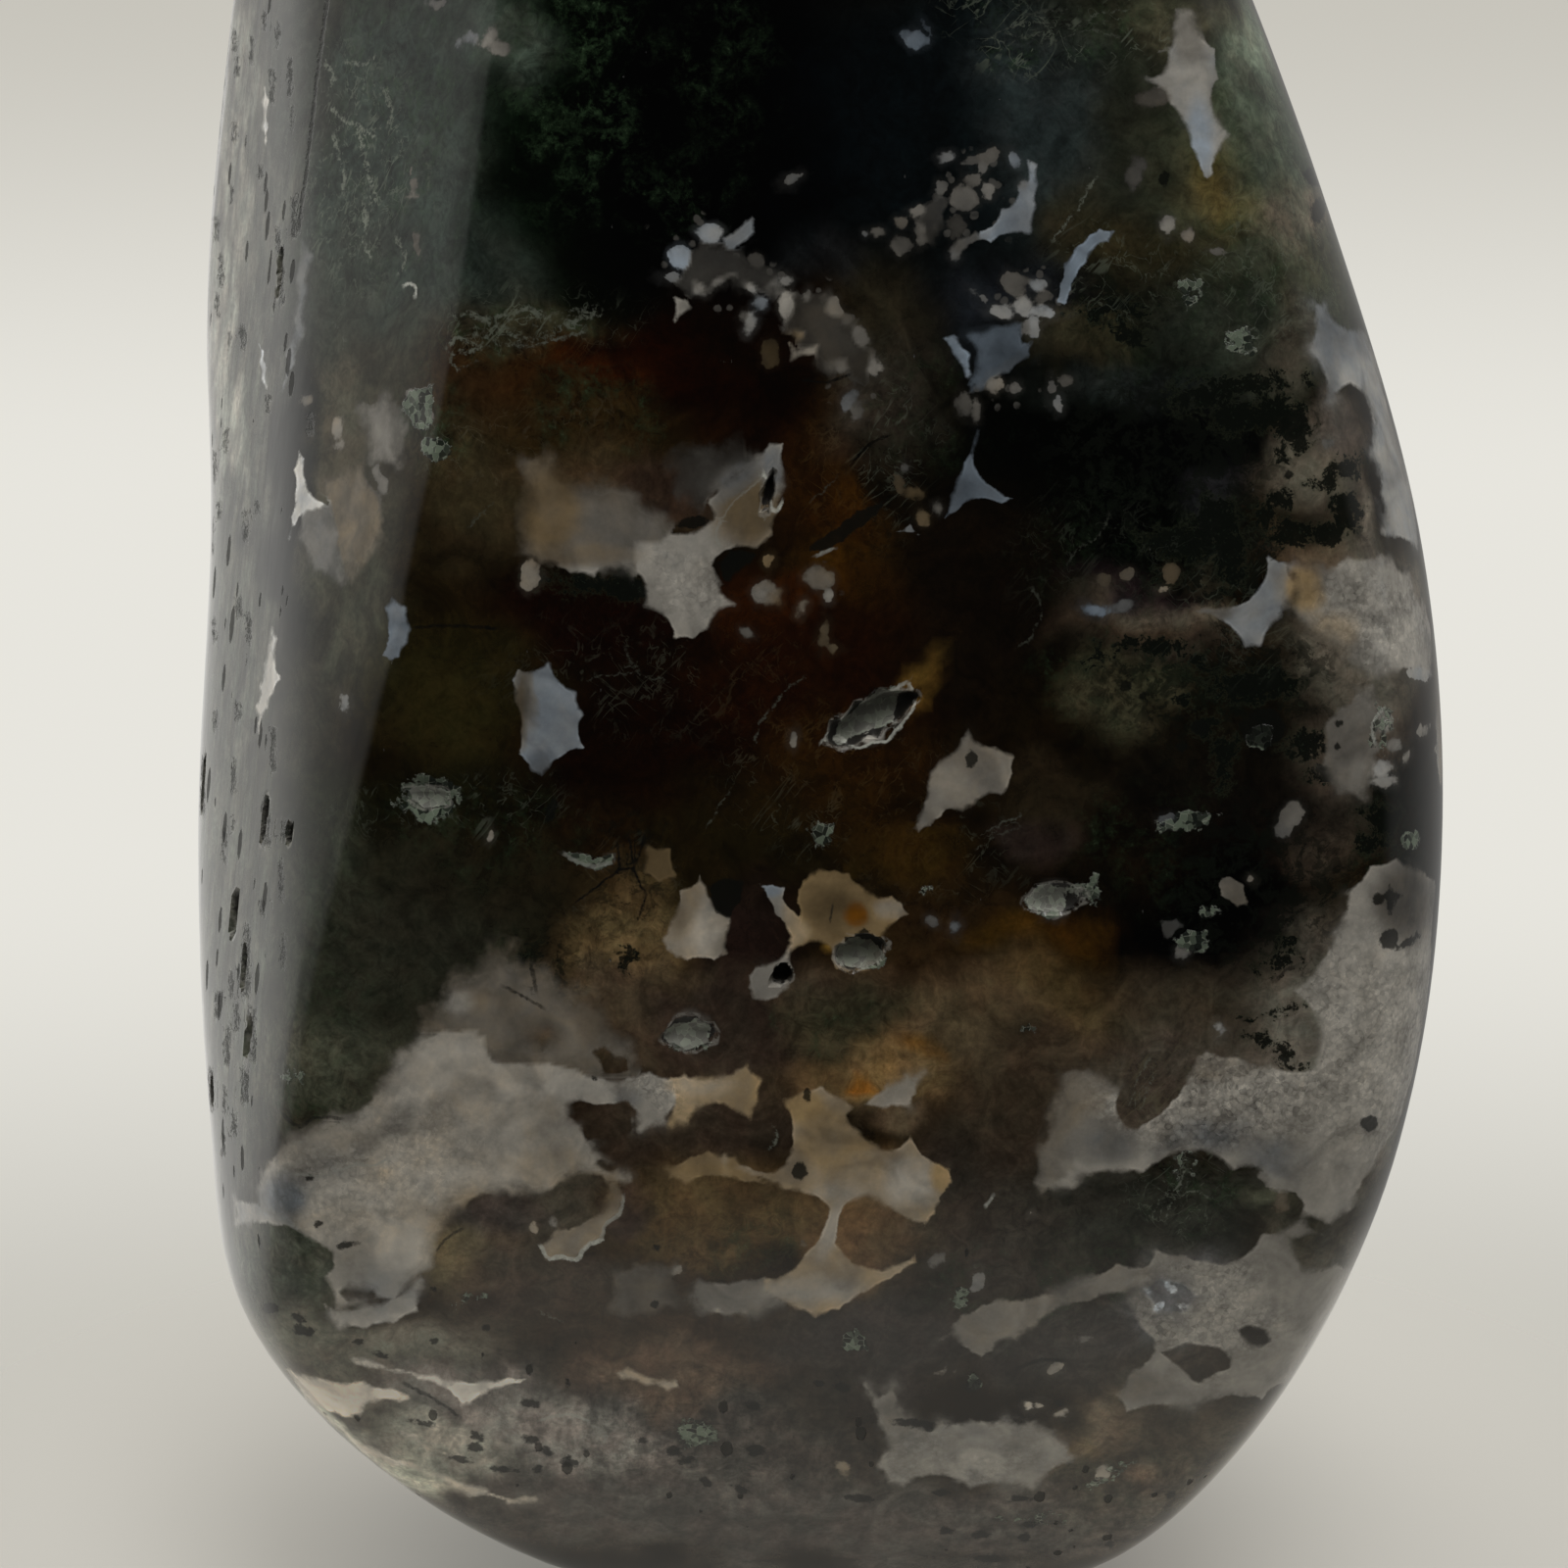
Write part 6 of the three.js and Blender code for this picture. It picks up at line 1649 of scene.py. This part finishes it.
beaded = look.step(attribute("beaded") + moss_field * 0.5, 0.70, 0.86) * (1 - pale_mask)
bead_gap = look.add("ShaderNodeTexVoronoi", {"feature": "F1"}, {"Vector": place_mm, "Scale": 1.4})
bead_mask = look.step(bead_gap + (knobs - 0.5) * 0.5, 0.30, 0.20)
body = look.mix(bead_mask * beaded * 0.4, body, shade(78, 76, 72))

druse = attribute("druse")
crystal = look.add("ShaderNodeTexVoronoi", {"feature": "F1"}, {"Vector": place_mm, "Scale": 3.2}, 1)
crystal_tone = look.add("ShaderNodeSeparateColor", None, {0: crystal}, 0)
crystal_side = look.add("ShaderNodeTexVoronoi", {"feature": "DISTANCE_TO_EDGE"}, {
    "Vector": place_mm, "Scale": 3.2})
druse_mask = (look.step(druse, 0.04, 0.20)
              * look.step(druse + (curd - 0.5) * 1.1 + (speck - 0.5) * 0.3, 0.40, 0.52))
crystal_colour = look.mix(look.step(crystal_tone, 0.15, 0.95), shade(20, 24, 21), shade(84, 93, 80))
glint = look.step(crystal_side, 0.06, 0.015) * look.step(curd, 0.46, 0.60)
crystal_colour = look.mix(glint * 0.6, crystal_colour, shade(124, 128, 116))
pit = attribute("hollow")
pit_mask = look.step(pit + (curd - 0.5) * 0.3, -0.03, 0.06)
crystal_colour = look.mix(pit_mask * 0.45, toned(crystal_colour, 1 + pit_mask * 0.4), shade(128, 127, 120))
body = look.mix(druse_mask * 0.8, body, crystal_colour)

stretched = look.add("ShaderNodeMapping", None, {"Vector": place_mm, "Scale": (1.0, 1.0, 0.38)})
pore_gap = look.add("ShaderNodeTexVoronoi", {"feature": "F1"}, {"Vector": stretched, "Scale": 0.75})
pore_pick = look.add("ShaderNodeTexVoronoi", {"feature": "F1"}, {"Vector": stretched, "Scale": 0.75}, 1)
pore_size = look.add("ShaderNodeSeparateColor", None, {0: pore_pick}, 0) * 0.30 * pored
pore = look.step(pore_gap + (speck - 0.5) * 0.16 - pore_size, 0.02, -0.02)
body = look.mix(pore * 0.8, body, shade(18, 18, 15))

ink = look.step(attribute("ink") + (curd - 0.5) * 0.45 + (speck - 0.5) * 0.15, -0.06, 0.05)
body = look.mix(ink * 0.88, body, shade(8, 9, 7))
ragged = attribute("line_ragged")
wander = (curd - 0.5) * (0.10 + ragged * 0.55) + (speck - 0.5) * (0.06 + ragged * 0.25)
line_gap = abs(attribute("line_gap") + wander)
line_mask = look.step(line_gap - attribute("line_half"), 0.045, -0.035) * attribute("line_share")
line_mask = line_mask * (1 - ragged * (1 - look.step(speck + moss_field * 0.8, 0.80, 1.02)))
line_tone = attribute("line_tone")
line_colour = look.mix(ragged, shade(100, 99, 96), shade(96, 100, 90))
body = look.mix(line_mask, body, toned(line_colour, line_tone))

open_line = line_mask * look.step(line_tone, 0.20, 0.16) * look.step(line_tone, 0.10, 0.13)
pit_rim = look.step(abs(pit + 0.05), 0.12, 0.04) * look.step(curd, 0.40, 0.56)
body = look.mix(pit_rim * 0.45, body, shade(112, 110, 104))
# Where no druse crystals fill a hollow its colour is painted near-black: painted shade in the recess.
body = look.mix(pit_mask * (1 - druse_mask), body, shade(18, 16, 13))

dull = (pit_mask * 0.5 + pore * 0.5 + open_line * 0.5 + druse_mask * 0.12).least(0.9)
relief = (pit_mask * (crystal_tone * 0.10) + druse_mask * crystal_tone * 0.05
          - (pore + open_line) * 0.12 + pored * streaks * 0.02)
bump = look.add("ShaderNodeBump", None, {"Strength": 1.0, "Distance": 0.001, "Height": relief})
shader = look.add("ShaderNodeBsdfPrincipled", None, {
    "Base Color": body,
    "Roughness": 0.06 + dull,
    "IOR": 1.54,
    "Normal": bump,
})
look.add("ShaderNodeOutputMaterial", None, {"Surface": shader})
stone_mesh.materials.append(agate)

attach(stone, "root")
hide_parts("stone")
